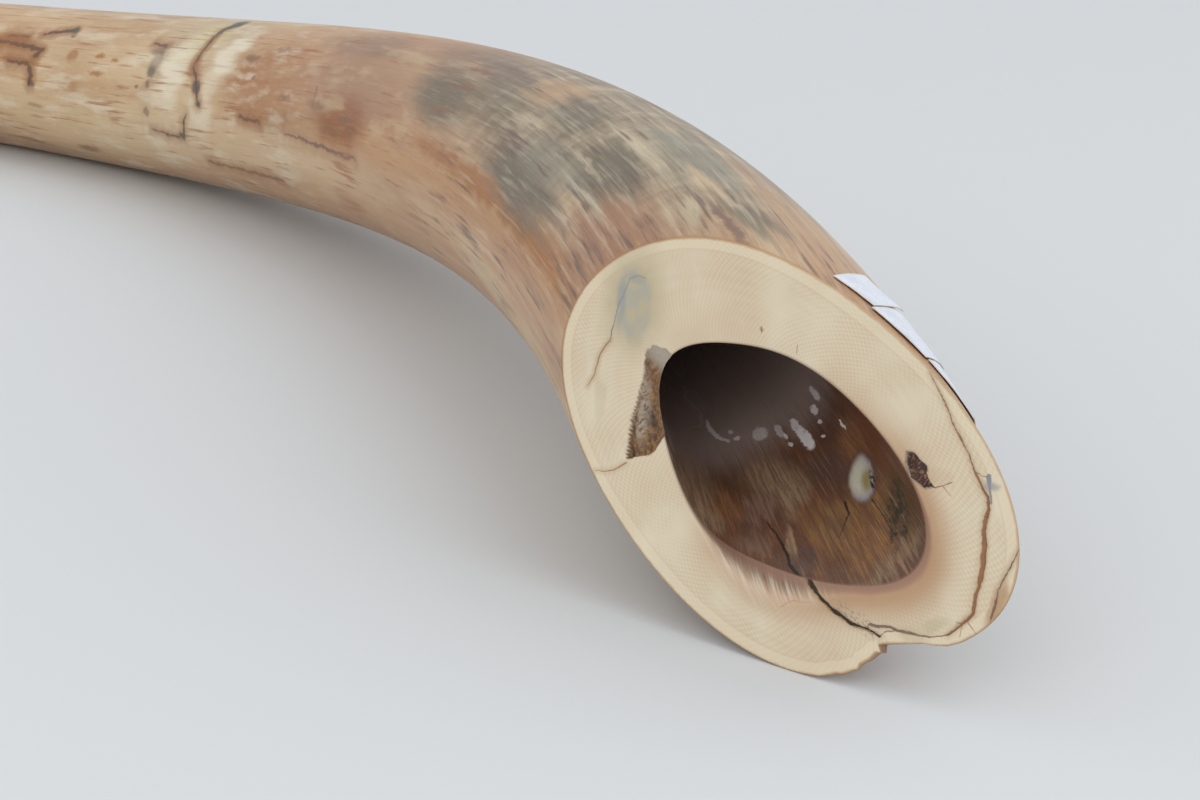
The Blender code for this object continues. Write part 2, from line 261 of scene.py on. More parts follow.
def depth_inside(points_mm: np.ndarray, outline_mm: Polyline) -> np.ndarray:
    """How far points lie inside a closed outline: positive inside, negative outside.

    The side is found by counting the edges that a line towards +x crosses.

    Args:
        points_mm: places on the sawn face.
        outline_mm: the outline's corners.

    Returns:
        The signed distances from the outline.
    """
    corners = np.array(outline_mm, float)
    after = np.roll(corners, -1, axis=0)
    inside = np.zeros(points_mm.shape[:-1], bool)
    x, y = points_mm[..., 0], points_mm[..., 1]
    for (ax, ay), (bx, by) in zip(corners, after):
        if ay != by:
            crosses = ((ay > y) != (by > y)) & (x < (bx - ax) * (y - ay) / (by - ay) + ax)
            inside ^= crosses
    away, _ = path_distance(points_mm, [*outline_mm, outline_mm[0]])
    return np.where(inside, away, -away)


def smooth(low: float, high: float, value: np.ndarray) -> np.ndarray:
    """A cubic step from 0 at low to 1 at high."""
    share = np.clip((value - low) / (high - low), 0, 1)
    return share * share * (3 - 2 * share)


def keep(piece: bpy.types.Object, name: str, values: np.ndarray) -> None:
    """Keeps a vector for each point of a piece under a name that the finishes read."""
    attribute = piece.data.attributes.new(name, "FLOAT_VECTOR", "POINT")
    attribute.data.foreach_set("vector", values.astype(np.float32).ravel())


def solid(name: str, points: np.ndarray, faces: list, plain: int = 0) -> bpy.types.Object:
    """Puts a mesh with smooth shading into the scene.

    Args:
        name: the name of the object and of its mesh.
        points: its points.
        faces: its faces, each a row of point numbers.
        plain: how many of the last faces are shaded flat.

    Returns:
        The object.
    """
    mesh = bpy.data.meshes.new(name)
    mesh.from_pydata(points.tolist(), [], faces)
    mesh.polygons.foreach_set("use_smooth", [True] * (len(faces) - plain) + [False] * plain)
    mesh.update()
    piece = bpy.data.objects.new(name, mesh)
    bpy.context.collection.objects.link(piece)
    return piece


def waves(terms: Sequence[tuple[int, float, float]], angle: np.ndarray) -> np.ndarray:
    """Sum of the terms' cosines and sines of whole multiples of an angle."""
    return sum(c * np.cos(k * angle) + d * np.sin(k * angle) for k, c, d in terms)


@dataclass
class Sweep:
    """The tusk's curve and the rings round it, about the middle of the cut."""

    length: float = 2.05
    cut_radius: float = 0.0595
    taper_power: float = 1.9
    taper_bluntness: float = 0.5
    heading: float = 0.16
    turn_start: float = 0.46
    turn_growth: float = 0.60
    turn_limit: float = 1.20
    arch_start: float = -0.045
    arch_end: float = 0.99
    arch_height: float = 0.029
    tip_lift_start: float = 1.47
    tip_lift: float = 0.14
    section: tuple[tuple[int, float, float], ...] = ((2, 0.035, 0.060), (3, 0.033, 0.017),
                                                     (4, 0.020, 0.0))
    section_fade: float = 0.60
    cavity_share: float = 0.660
    cavity_section: tuple[tuple[int, float, float], ...] = (
        (1, 0.014, -0.054), (2, 0.034, 0.016), (3, 0.029, 0.008), (4, 0.004, -0.023))
    cavity_start: float = -0.09
    cavity_length: float = 0.45
    cavity_bluntness: float = 0.65
    curve_back: float = 0.20
    samples_per_metre: int = 1000
    tip_rest: float = 0.2
    shift: np.ndarray = field(default_factory=lambda: np.zeros(3))

    def __post_init__(self) -> None:
        """Works out the curve's samples from its turning, arch, tip lift and taper."""
        count = round((self.curve_back + self.length) * self.samples_per_metre) + 1
        s = np.linspace(-self.curve_back, self.length, count)
        step = s[1] - s[0]
        cut = round(self.curve_back * self.samples_per_metre)
        turn = np.minimum(self.turn_start + self.turn_growth * s, self.turn_limit)
        heading = np.concatenate([[0.0], np.cumsum((turn[1:] + turn[:-1]) / 2) * step])
        heading += self.heading - heading[cut]
        taper = 1 - np.clip(s / self.length, 0, 1) ** self.taper_power
        radius = self.cut_radius * taper ** self.taper_bluntness
        on_arch = np.clip((s - self.arch_start) / (self.arch_end - self.arch_start), None, 1)
        arch = self.arch_height * 27 / 4 * on_arch * (1 - on_arch) ** 2
        on_tip = np.clip((s - self.tip_lift_start) / (self.length - self.tip_lift_start), 0, 1)
        resting = np.maximum(radius, self.tip_rest * self.cut_radius)
        height = arch + self.tip_lift * on_tip ** 2 + resting
        rise = np.gradient(height, s)
        level = np.sqrt(1 - rise ** 2)
        direction = np.stack([-np.sin(heading) * level, np.cos(heading) * level, rise], 1)
        flat = direction[:, :2]
        place = np.concatenate([np.zeros((1, 2)), np.cumsum((flat[1:] + flat[:-1]) / 2, 0) * step])
        side = np.cross(direction, [0.0, 0.0, 1.0])
        side /= np.linalg.norm(side, axis=1)[:, None]
        self.s, self.radius, self.direction, self.side = s, radius, direction, side
        self.centre = np.column_stack([place - place[cut], height])
        self.up = np.cross(side, direction)
        self.at_cut = cut

    def at(self, values: np.ndarray, s: np.ndarray) -> np.ndarray:
        """Reads one of the curve's samples at other lengths, straight between two of them.

        Args:
            values: numbers or vectors, one for each of the curve's samples.
            s: lengths along the curve.

        Returns:
            One number or vector for each length.
        """
        if values.ndim == 1:
            return np.interp(s, self.s, values)
        return np.stack([np.interp(s, self.s, column) for column in values.T], -1)

    def ring(self, angle: np.ndarray, s: np.ndarray, distance: np.ndarray) -> Points:
        """Points at a distance from the curve: centre + distance (cos side + sin up).

        Args:
            angle: angles round the curve.
            s: lengths along it.
            distance: distances from it.

        Returns:
            One point for each angle.
        """
        outward = np.cos(angle)[..., None] * self.at(self.side, s)
        outward = outward + np.sin(angle)[..., None] * self.at(self.up, s)
        return self.at(self.centre, s) + self.shift + distance[..., None] * outward

    def skin_radius(self, angle: np.ndarray, s: np.ndarray) -> np.ndarray:
        """Tapered radius times one plus the section's waves, which fade along the curve."""
        fade = np.exp(-np.maximum(s, 0) / self.section_fade)
        return self.at(self.radius, s) * (1 + fade * waves(self.section, angle))

    def skin(self, angle: np.ndarray, s: np.ndarray, lift: float = 0.0) -> Points:
        """Points on the skin, or a little above it."""
        return self.ring(angle, s, self.skin_radius(angle, s) + lift)

    def cavity_radius(self, angle: np.ndarray, s: np.ndarray) -> np.ndarray:
        """A share of the cut's radius with its own waves, falling to nothing at the end.

        Args:
            angle: angles round the curve.
            s: lengths along it.

        Returns:
            One radius for each angle.
        """
        left = 1 - np.clip((s - self.cavity_start) / self.cavity_length, 0, 1)
        share = self.cavity_share + waves(self.cavity_section, angle)
        return self.cut_radius * share * left ** self.cavity_bluntness

    def cavity(self, angle: np.ndarray, s: np.ndarray) -> Points:
        """Points on the cavity's wall."""
        return self.ring(angle, s, self.cavity_radius(angle, s))


@dataclass
class Cut:
    """The slanting saw cut through the sweep's own middle."""

    sweep: Sweep
    turn: float = math.radians(-39.0)
    rise: float = math.radians(20.5)
    search: tuple[float, float] = (-0.15, 0.20)
    halvings: int = 40

    def __post_init__(self) -> None:
        """Works out the cut's normal, its long way towards the base, and the way across."""
        level = math.cos(self.rise)
        self.normal = np.array([math.sin(self.turn) * level, -math.cos(self.turn) * level,
                                math.sin(self.rise)])
        direction = self.sweep.direction[self.sweep.at_cut]
        self.slope = float(-direction @ self.normal)
        long_way = -direction - self.slope * self.normal
        self.long_way = long_way / np.linalg.norm(long_way)
        self.cross_way = np.cross(self.normal, self.long_way)
        self.direction = direction

    def middle(self) -> np.ndarray:
        """The point where the curve meets the cut."""
        return self.sweep.centre[self.sweep.at_cut] + self.sweep.shift

    def flat(self, points: Points) -> np.ndarray:
        """Places in the cut's own axes: along its long way, across it, and out of it."""
        axes = np.stack([self.long_way, self.cross_way, self.normal], 1)
        return (points - self.middle()) @ axes

    def place(self, flat: np.ndarray) -> Points:
        """World points of places in the cut's own axes."""
        axes = np.stack([self.long_way, self.cross_way, self.normal], 0)
        return self.middle() + flat @ axes

    def meets(self, surface: Callable[[np.ndarray, np.ndarray], Points],
              angle: np.ndarray) -> np.ndarray:
        """Length at which each angle's line on a surface meets the cut, by halving.

        Args:
            surface: gives points for angles and lengths.
            angle: the angles round the curve.

        Returns:
            One length along the curve for each angle.
        """
        low, high = (np.full_like(angle, end) for end in self.search)
        for _ in range(self.halvings):
            half = (low + high) / 2
            in_front = self.flat(surface(angle, half))[..., 2] > 0
            low, high = np.where(in_front, half, low), np.where(in_front, high, half)
        return (low + high) / 2


def crowded(even: float, ends: float) -> float:
    """An even share from 0 to 1 crowded towards both ends: part straight, part cosine."""
    return (1 - ends) * even + ends * (0.5 - 0.5 * math.cos(math.pi * even))


@dataclass
class Ring:
    """One ring of the skin: its points, and what the finishes read from them."""

    points: Points
    grain: np.ndarray
    edges: np.ndarray
    marks: np.ndarray

    def every(self, step: int) -> "Ring":
        """The ring with only every so many points."""
        return Ring(self.points[::step], self.grain[::step], self.edges[::step], self.marks[::step])


@dataclass
class Tusk:
    """The whole tusk as one closed mesh: cavity wall, sawn face and bark."""

    sweep: Sweep
    cut: Cut
    fine_columns: int = 576
    fine_per_coarse: int = 3
    face_rows: int = 62
    bark_rows: int = 215
    cavity_rows: int = 50
    cut_blend: float = 0.32
    rim_rounding_mm: float = 0.45
    lip_mm: float = 0.7
    soft_lip_mm: float = 6.5
    soft_lip_at: float = math.radians(-97)
    soft_lip_spread: float = math.radians(24)
    base_lip_mm: float = 1.6
    base_lip_at: float = math.radians(-35)
    base_lip_spread: float = math.radians(45)
    bark_waves: float = 0.00035
    bark_wave_size: float = 0.022
    cavity_waves: float = 0.0005
    cavity_wave_size: float = 0.012
    face_crowding: float = 0.55
    bark_crowding: float = 0.6
    turn_blend: float = 0.03
    notch_blend: float = 0.06
    tip_calm: float = 0.06
    under_rim: float = 0.0009
    wander_mm: float = 0.35
    wander_size_mm: float = 2.4
    groove_side_mm: float = 0.3
    groove_rough: float = 0.35
    chip_mm: float = 2.9
    chip_rough_mm: float = 1.3
    chip_fine_mm: float = 0.7
    chip_least_mm: float = 0.6
    ridge_mm: float = 1.5
    teeth_mm: float = 0.8
    tooth_pitch_mm: float = 2.6
    pit_mm: float = 2.2
    pit_rough_mm: float = 1.2

    def lip(self, angle: np.ndarray) -> np.ndarray:
        """Rounding of the cavity's rim: a thin edge plus two bell-shaped swells.

        Args:
            angle: angles round the curve.

        Returns:
            One rounding in millimetres for each angle.
        """
        turn = np.mod(angle + math.pi, 2 * math.pi) - math.pi
        soft = self.soft_lip_mm * np.exp(-((turn - self.soft_lip_at) / self.soft_lip_spread) ** 2)
        base = self.base_lip_mm * np.exp(-((turn - self.base_lip_at) / self.base_lip_spread) ** 2)
        return self.lip_mm + soft + base

    def relief(self, place_mm: np.ndarray, from_cavity_mm: np.ndarray) -> np.ndarray:
        """Depth of the cracks, the wedge-shaped chip and the pit on the sawn face.

        A crack is a groove whose sides rise over a third of a millimetre. A chip is its full depth
        a millimetre inside its outline, with noise, a ridge and teeth, and runs out at the cavity.

        Args:
            place_mm: places on the sawn face.
            from_cavity_mm: their distances from the cavity's rim.

        Returns:
            Two columns: the depth in millimetres, and 1 inside the wedge or 2 inside the pit.
        """
        across = np.concatenate([place_mm, np.zeros_like(place_mm[..., :1])], -1)
        wander = np.stack([noise(across, self.wander_size_mm, seed) for seed in
                           (Seed.WANDER_LONG, Seed.WANDER_ACROSS)], -1) * self.wander_mm
        near = place_mm + wander
        depth = np.zeros(place_mm.shape[:-1])
        for crack in CRACKS:
            if crack.depth_mm:
                away, share = path_distance(near, crack.path_mm)
                half = crack.width_at(share) / 2
                rough = 1 + self.groove_rough * noise(across, 1.6, Seed.CRACK)
                side = smooth(self.groove_side_mm, -self.groove_side_mm, away - half)
                groove = crack.depth_mm * rough * side
                depth = np.maximum(depth, groove)
        wedge = depth_inside(place_mm + wander * 0.8, WEDGE_MM)
        away_from_top = smooth(-3.0, -13.0, place_mm[..., 1])
        ridge, _ = path_distance(near, WEDGE_RIDGE_MM)
        teeth = np.cos(2 * math.pi * (0.54 * place_mm[..., 0] + 0.84 * place_mm[..., 1])
                       / self.tooth_pitch_mm)
        low_end = smooth(-27.0, -33.0, place_mm[..., 1])
        floor = self.chip_mm + self.chip_rough_mm * noise(across, 5.0, Seed.CHIP)
        floor = floor + self.chip_fine_mm * noise(across, 1.5, Seed.CHIP_FINE)
        floor = floor - self.ridge_mm * smooth(2.2, 0.2, ridge) + self.teeth_mm * teeth * low_end
        floor = np.maximum(floor, self.chip_least_mm) * (0.12 + 0.88 * away_from_top)
        chip = smooth(0.0, 1.0, wedge) * np.minimum(floor, 0.35 + 0.6 * from_cavity_mm)
        pit = depth_inside(place_mm + wander, PIT_MM)
        streaks = np.stack([place_mm[..., 0] * 1.2, place_mm[..., 1] * 0.4, 0 * depth], -1)
        rough = self.pit_rough_mm * noise(streaks, 1.6, Seed.PIT)
        hollow = smooth(0.0, 0.9, pit) * (self.pit_mm + rough)
        depth = np.maximum(depth, np.maximum(chip, hollow))
        mark = smooth(-0.1, 0.5, wedge) + 2 * smooth(-0.1, 0.5, pit)
        return np.stack([depth, mark], -1)

    def face_limit(self, inner: np.ndarray, outer: np.ndarray) -> np.ndarray:
        """Share of each column, from the cavity to the rim, at which the notch in the rim begins.

        The columns are sampled, and the first sample inside the notch's outline ends them.

        Args:
            inner: flat places on the cavity's rim, in metres.
            outer: flat places on the outer rim, in metres.

        Returns:
            One share for each column, 1 where there is no notch.
        """
        shares = np.linspace(0.4, 1.0, 601)
        line = inner[:, None, :2] + (outer - inner)[:, None, :2] * shares[None, :, None]
        inside = depth_inside(line * 1000, NOTCH_MM) > 0
        first = np.where(inside.any(axis=1), inside.argmax(axis=1), len(shares) - 1)
        return shares[first]

    def face_rings(self, angle: np.ndarray) -> tuple[list[Ring], np.ndarray, np.ndarray]:
        """Rings of the sawn face, from the cavity's rounded rim to the outer rim.

        A point is inner + (outer - inner) * share, sunk by the relief along the cut's normal. At
        the cavity the rounding follows a quarter circle that ends along the cavity's wall.

        Args:
            angle: angles of the columns.

        Returns:
            The rings, the lengths of the cavity's rim, and the lengths of the outer rim.
        """
        cavity_s = self.cut.meets(self.sweep.cavity, angle)
        rim_s = self.cut.meets(self.sweep.skin, angle)
        inner = self.cut.flat(self.sweep.cavity(angle, cavity_s))
        outer = self.cut.flat(self.sweep.skin(angle, rim_s))
        limit = self.face_limit(inner, outer)
        lip = self.lip(angle)
        wide = np.stack([np.cos(angle), np.sin(angle)], -1)
        grain_in = np.column_stack([wide * self.sweep.cavity_radius(angle, cavity_s)[:, None],
                                    cavity_s])
        grain_out = np.column_stack([wide * self.sweep.skin_radius(angle, rim_s)[:, None], rim_s])
        rings = []
        for row in range(self.face_rows + 1):
            even = row / self.face_rows
            share = crowded(even, self.face_crowding)
            flat = inner + (outer - inner) * (limit * share)[:, None]
            from_cavity = np.linalg.norm(flat - inner, axis=1)
            edge = inner + (outer - inner) * limit[:, None]
            from_rim = np.linalg.norm(flat - edge, axis=1)
            relief = self.relief(flat[:, :2] * 1000, from_cavity * 1000)
            rounding = np.clip(from_rim * 1000 / self.rim_rounding_mm, 0, 1)
            rounding = self.rim_rounding_mm * (1 - np.sqrt(1 - (1 - rounding) ** 2))
            sunk = np.maximum(relief[:, 0], rounding) / 1000
            over = 1 - np.clip(from_cavity * 1000 / lip, 0, 1)
            lip_depth = lip / 1000 * (1 - np.sqrt(1 - over ** 2))
            flat = flat - sunk[:, None] * np.array([0.0, 0.0, 1.0])
            points = self.cut.place(flat)
            points = points + self.cut.direction * (lip_depth / self.cut.slope)[:, None]
            grain = grain_in + (grain_out - grain_in) * (limit * share)[:, None]
            grain[:, 2] += lip_depth / self.cut.slope
            edges = np.stack([from_cavity, from_rim, lip / 1000], -1)
            marks = np.stack([sunk, relief[:, 1], np.zeros_like(sunk)], -1)
            rings.append(Ring(points, grain, edges, marks))
        return rings, cavity_s, rim_s

    def skin_under(self, edge: Points, angle: np.ndarray, s: np.ndarray) -> np.ndarray:
        """Angles and lengths on the skin straight below points of the face's edge.

        Newton steps on the two flat coordinates, with slopes from small differences.

        Args:
            edge: points of the face's outer edge.
            angle: starting angles.
            s: starting lengths.

        Returns:
            Two columns, the angles and the lengths.
        """
        aim = self.cut.flat(edge)[:, :2]
        found = np.stack([angle, s + 0.0006], -1)
        small = 1e-4
        for _ in range(12):
            here = self.cut.flat(self.sweep.skin(found[:, 0], found[:, 1]))[:, :2]
            turned = self.cut.flat(self.sweep.skin(found[:, 0] + small, found[:, 1]))[:, :2]
            moved = self.cut.flat(self.sweep.skin(found[:, 0], found[:, 1] + small))[:, :2]
            slopes = np.stack([turned - here, moved - here], -1) / small
            step = np.linalg.solve(slopes, (aim - here)[..., None])[..., 0]
            found = found + np.clip(step, -0.05, 0.05)
        return found

    def bark_rings(self, angle: np.ndarray, edge: Points, rim_s: np.ndarray) -> list[Ring]:
        """Rings of the bark, from just below the face's edge to the tip.

        Rings are slanted like the cut at first and stand square to the curve further on. Long low
        waves of noise, stretched along the tusk, lift the skin.

        Args:
            angle: angles of the fine columns.
            edge: points of the face's outer edge.
            rim_s: lengths of the outer rim.

        Returns:
            The rings, the first with the fine columns and the others with the coarse ones.
        """
        under = self.skin_under(edge, angle, rim_s)
        gap = np.linalg.norm(self.cut.flat(edge)[:, :2]
                             - self.cut.flat(self.sweep.skin(angle, rim_s))[:, :2], axis=1)
        notched = smooth(0.0008, 0.0016, gap)
        first_angle = angle + (under[:, 0] - angle) * notched
        first_s = rim_s + self.under_rim + (under[:, 1] - rim_s - self.under_rim) * notched
        rings = []
        for row in range(self.bark_rows):
            even = row / self.bark_rows
            base = self.sweep.length * crowded(even, self.bark_crowding)
            still = max(0.0, 1 - base / self.cut_blend)
            turned = angle + (first_angle - angle) * max(0.0, 1 - base / self.turn_blend) ** 2
            notch_s = first_s - rim_s
            s = base + rim_s * still + notch_s * max(0.0, 1 - base / self.notch_blend)
            wide = np.stack([np.cos(turned), np.sin(turned)], -1)
            grain = np.column_stack([wide * self.sweep.at(self.sweep.radius, s)[:, None], s])
            stretched = grain * np.array([1.0, 1.0, 0.12])
            lift = self.bark_waves * noise(stretched, self.bark_wave_size, Seed.BARK)
            lift = lift * min(1.0, base / 0.004)
            lift = lift * smooth(0.0, self.tip_calm, self.sweep.length - s)
            points = self.sweep.skin(turned, s, lift)
            edges = np.stack([0 * s - 1, rim_s - s, 0 * s], -1)
            ring = Ring(points, grain, edges, np.zeros_like(grain))
            rings.append(ring if row == 0 else ring.every(self.fine_per_coarse))
        return rings

    def cavity_rings(self, angle: np.ndarray, cavity_s: np.ndarray) -> list[Ring]:
        """Rings of the cavity's wall, from below its rounded rim to its end.

        Low lengthwise waves of noise press the wall in and out.

        Args:
            angle: angles of the coarse columns.
            cavity_s: lengths of the cavity's rim.

        Returns:
            The rings, the last of them close to the cavity's end.
        """
        end = self.sweep.cavity_start + self.sweep.cavity_length
        start = cavity_s + self.lip(angle) / 1000 / self.cut.slope
        rings = []
        for row in range(1, self.cavity_rows):
            share = (row / self.cavity_rows) ** 1.15
            share = share * (1.35 - 0.35 * share)
            s = start + (end - start) * share
            radius = self.sweep.cavity_radius(angle, s)
            wide = np.stack([np.cos(angle), np.sin(angle)], -1)
            grain = np.column_stack([wide * radius[:, None], s])
            stretched = np.column_stack([wide * 0.03, s * 0.15])
            wave = self.cavity_waves * noise(stretched, self.cavity_wave_size, Seed.CAVITY)
            wave = wave * min(1.0, row / 4)
            points = self.sweep.ring(angle, s, radius + wave)
            edges = np.stack([cavity_s - s, 0 * s + 1, self.lip(angle) / 1000], -1)
            rings.append(Ring(points, grain, edges, np.zeros_like(grain)))
        return rings

    @staticmethod
    def band(first: int, second: int, count: int) -> list[tuple[int, ...]]:
        """Quads between two rings of equal size, facing outward.

        Args:
            first: number of the first ring's first point.
            second: number of the second ring's first point.
            count: points in each ring.

        Returns:
            The quads.
        """
        here = np.arange(count)
        after = (here + 1) % count
        quads = np.stack([second + here, second + after, first + after, first + here], 1)
        return [tuple(quad) for quad in quads.tolist()]

    @staticmethod
    def thinning(fine: int, coarse: int, count: int, step: int) -> list[tuple[int, ...]]:
        """Faces from a fine ring to a coarse one: each coarse edge spans three fine edges.

        Args:
            fine: number of the fine ring's first point.
            coarse: number of the coarse ring's first point.
            count: points in the coarse ring.
            step: fine edges for each coarse edge.

        Returns:
            The faces, facing outward if the fine ring comes first.
        """
        k = np.arange(count)
        after = (k + 1) % count
        f = [fine + (k * step + j) % (count * step) for j in range(step + 1)]
        left = np.stack([coarse + k, f[1], f[0]], 1).tolist()
        middle = np.stack([coarse + k, coarse + after, f[2], f[1]], 1).tolist()
        right = np.stack([coarse + after, f[3], f[2]], 1).tolist()
        return [tuple(face) for face in (*left, *middle, *right)]

    def build(self) -> bpy.types.Object:
        """Builds the closed mesh and gives it what its finishes read.

        Returns:
            The tusk's object, its faces numbered for three materials, which it doesn't have yet.
        """
        angle = np.arange(self.fine_columns) * 2 * math.pi / self.fine_columns
        coarse = self.fine_columns // self.fine_per_coarse
        face, cavity_s, rim_s = self.face_rings(angle)
        bark = self.bark_rings(angle, face[-1].points, rim_s)
        step = self.fine_per_coarse
        cavity = self.cavity_rings(angle[::step], cavity_s[::step])[::-1]
        rings = [*cavity, *face, *bark]
        starts = np.concatenate([[0], np.cumsum([len(ring.points) for ring in rings])]).tolist()
        faces: list[tuple[int, ...]] = []
        zones: list[int] = []
        for row, (ring, after) in enumerate(zip(rings, rings[1:])):
            zone = Zone.CAVITY if row < len(cavity) else Zone.SAWN
            zone = Zone.BARK if row >= len(cavity) + len(face) - 1 else zone
            if len(ring.points) == len(after.points):
                made = self.band(starts[row], starts[row + 1], len(ring.points))
            elif len(ring.points) > len(after.points):
                made = self.thinning(starts[row], starts[row + 1], coarse, step)
            else:
                made = self.thinning(starts[row + 1], starts[row], coarse, step)
                made = [quad[::-1] for quad in made]
            faces += made
            zones += [zone.value] * len(made)
        end = self.sweep.cavity_start + self.sweep.cavity_length
        deepest = self.sweep.cavity(np.zeros(1), np.full(1, end))
        tip = self.sweep.skin(np.zeros(1), np.full(1, self.sweep.length))
        pole_in, pole_out = starts[-1], starts[-1] + 1
        here = np.arange(coarse)
        after = (here + 1) % coarse
        inner_fan = np.stack([here, after, 0 * here + pole_in], 1).tolist()
        last = starts[-2]
        outer_fan = np.stack([last + after, last + here, 0 * here + pole_out], 1).tolist()
        faces += [tuple(three) for three in inner_fan + outer_fan]
        zones += [Zone.CAVITY.value] * coarse + [Zone.BARK.value] * coarse
        points = np.concatenate([ring.points for ring in rings] + [deepest, tip])
        piece = solid("tusk_body", points, faces)
        piece.data.polygons.foreach_set("material_index", zones)
        poles = {"grain": [[0, 0, end], [0, 0, self.sweep.length]],
                 "edges": [[-1, 1, 0], [-1, -1, 0]], "marks": [[0, 0, 0], [0, 0, 0]]}
        for name, ends in poles.items():
            values = np.concatenate([getattr(ring, name) for ring in rings] + [np.array(ends)])
            keep(piece, name, values)
        keep(piece, "flat", self.cut.flat(points))
        return piece

    def dress(self, piece: bpy.types.Object) -> None:
        """Gives the piece its three finishes, in the order of Zone."""
        for finish in (SawnIvory(), CavityWall(), Bark()):
            piece.data.materials.append(finish.make())


@dataclass
class PaperStrip:
    """A blank paper strip stuck on the bark just below the cut, with one slightly lifting corner.
    """

    name: str
    first: float
    last: float
    from_cut: float
    curl: float
    columns: int = 40
    rows: int = 40
    width: float = 0.0215
    slant: float = math.radians(20.0)
    thickness: float = 0.0003
    gap: float = 0.0005

    def build(self, sweep: Sweep, cut: Cut) -> bpy.types.Object:
        """Builds a thin closed sheet: two grids over the strip's angles and lengths, and its edges.

        The sheet stands off the skin by its gap, a little noise, and the lift of one corner. Its
        angle falls by the slant over the width.

        Args:
            sweep: the tusk's curve and skin.
            cut: the sawn face.

        Returns:
            The strip's object.
        """
        u, v = np.meshgrid(np.linspace(0, 1, self.columns), np.linspace(0, 1, self.rows),
                           indexing="ij")
        angle = np.radians(self.first + (self.last - self.first) * u)
        rim = cut.meets(sweep.skin, angle[:, 0])[:, None]
        s = rim + self.from_cut + self.width * v
        angle = angle - self.slant * v
        rough = np.stack([u * 30, v * 30, 0 * u], -1)
        crumple = 0.00012 * (1 + noise(rough, 7.0, Seed.PAPER + len(self.name), 2))
        corner = smooth(0.75, 1.1, u * 0.6 + v * 0.55) * self.curl
        layers = [sweep.skin(angle, s, self.gap + crumple + corner + up)
                  for up in (0.0, self.thickness)]
        count = self.columns * self.rows
        number = np.arange(count).reshape(self.columns, self.rows)
        quads = np.stack([number[:-1, :-1], number[1:, :-1], number[1:, 1:], number[:-1, 1:]], -1)
        quads = quads.reshape(-1, 4)
        edge = np.concatenate([number[:-1, 0], number[-1, :-1], number[:0:-1, -1],
                               number[0, :0:-1]])
        after = np.roll(edge, -1)
        sides = np.stack([edge, after, after + count, edge + count], 1)
        faces = np.concatenate([quads[:, ::-1], quads + count, sides])
        if self.last > self.first:
            faces = faces[:, ::-1]
        points = np.concatenate([layer.reshape(-1, 3) for layer in layers])
        piece = solid(self.name, points, faces.tolist(), len(sides))
        size = np.array([self.paper_length(sweep), self.width, 0.0])
        place = np.stack([u, v, 0 * u], -1).reshape(-1, 3) * size
        keep(piece, "paper", np.concatenate([place, place + [0, 0, self.thickness]]))
        keep(piece, "paper_size", np.tile(size, (2 * count, 1)))
        return piece

    def dress(self, piece: bpy.types.Object, paper: bpy.types.Material) -> None:
        """Gives the piece the paper that the strips share."""
        piece.data.materials.append(paper)

    def paper_length(self, sweep: Sweep) -> float:
        """Length of the strip along the rim."""
        return abs(math.radians(self.last - self.first)) * sweep.cut_radius * 1.25


Value = Socket | float | tuple[float, ...]
Colour = tuple[float, float, float]
Patch = tuple[float, float, float, float, float, float, Colour]


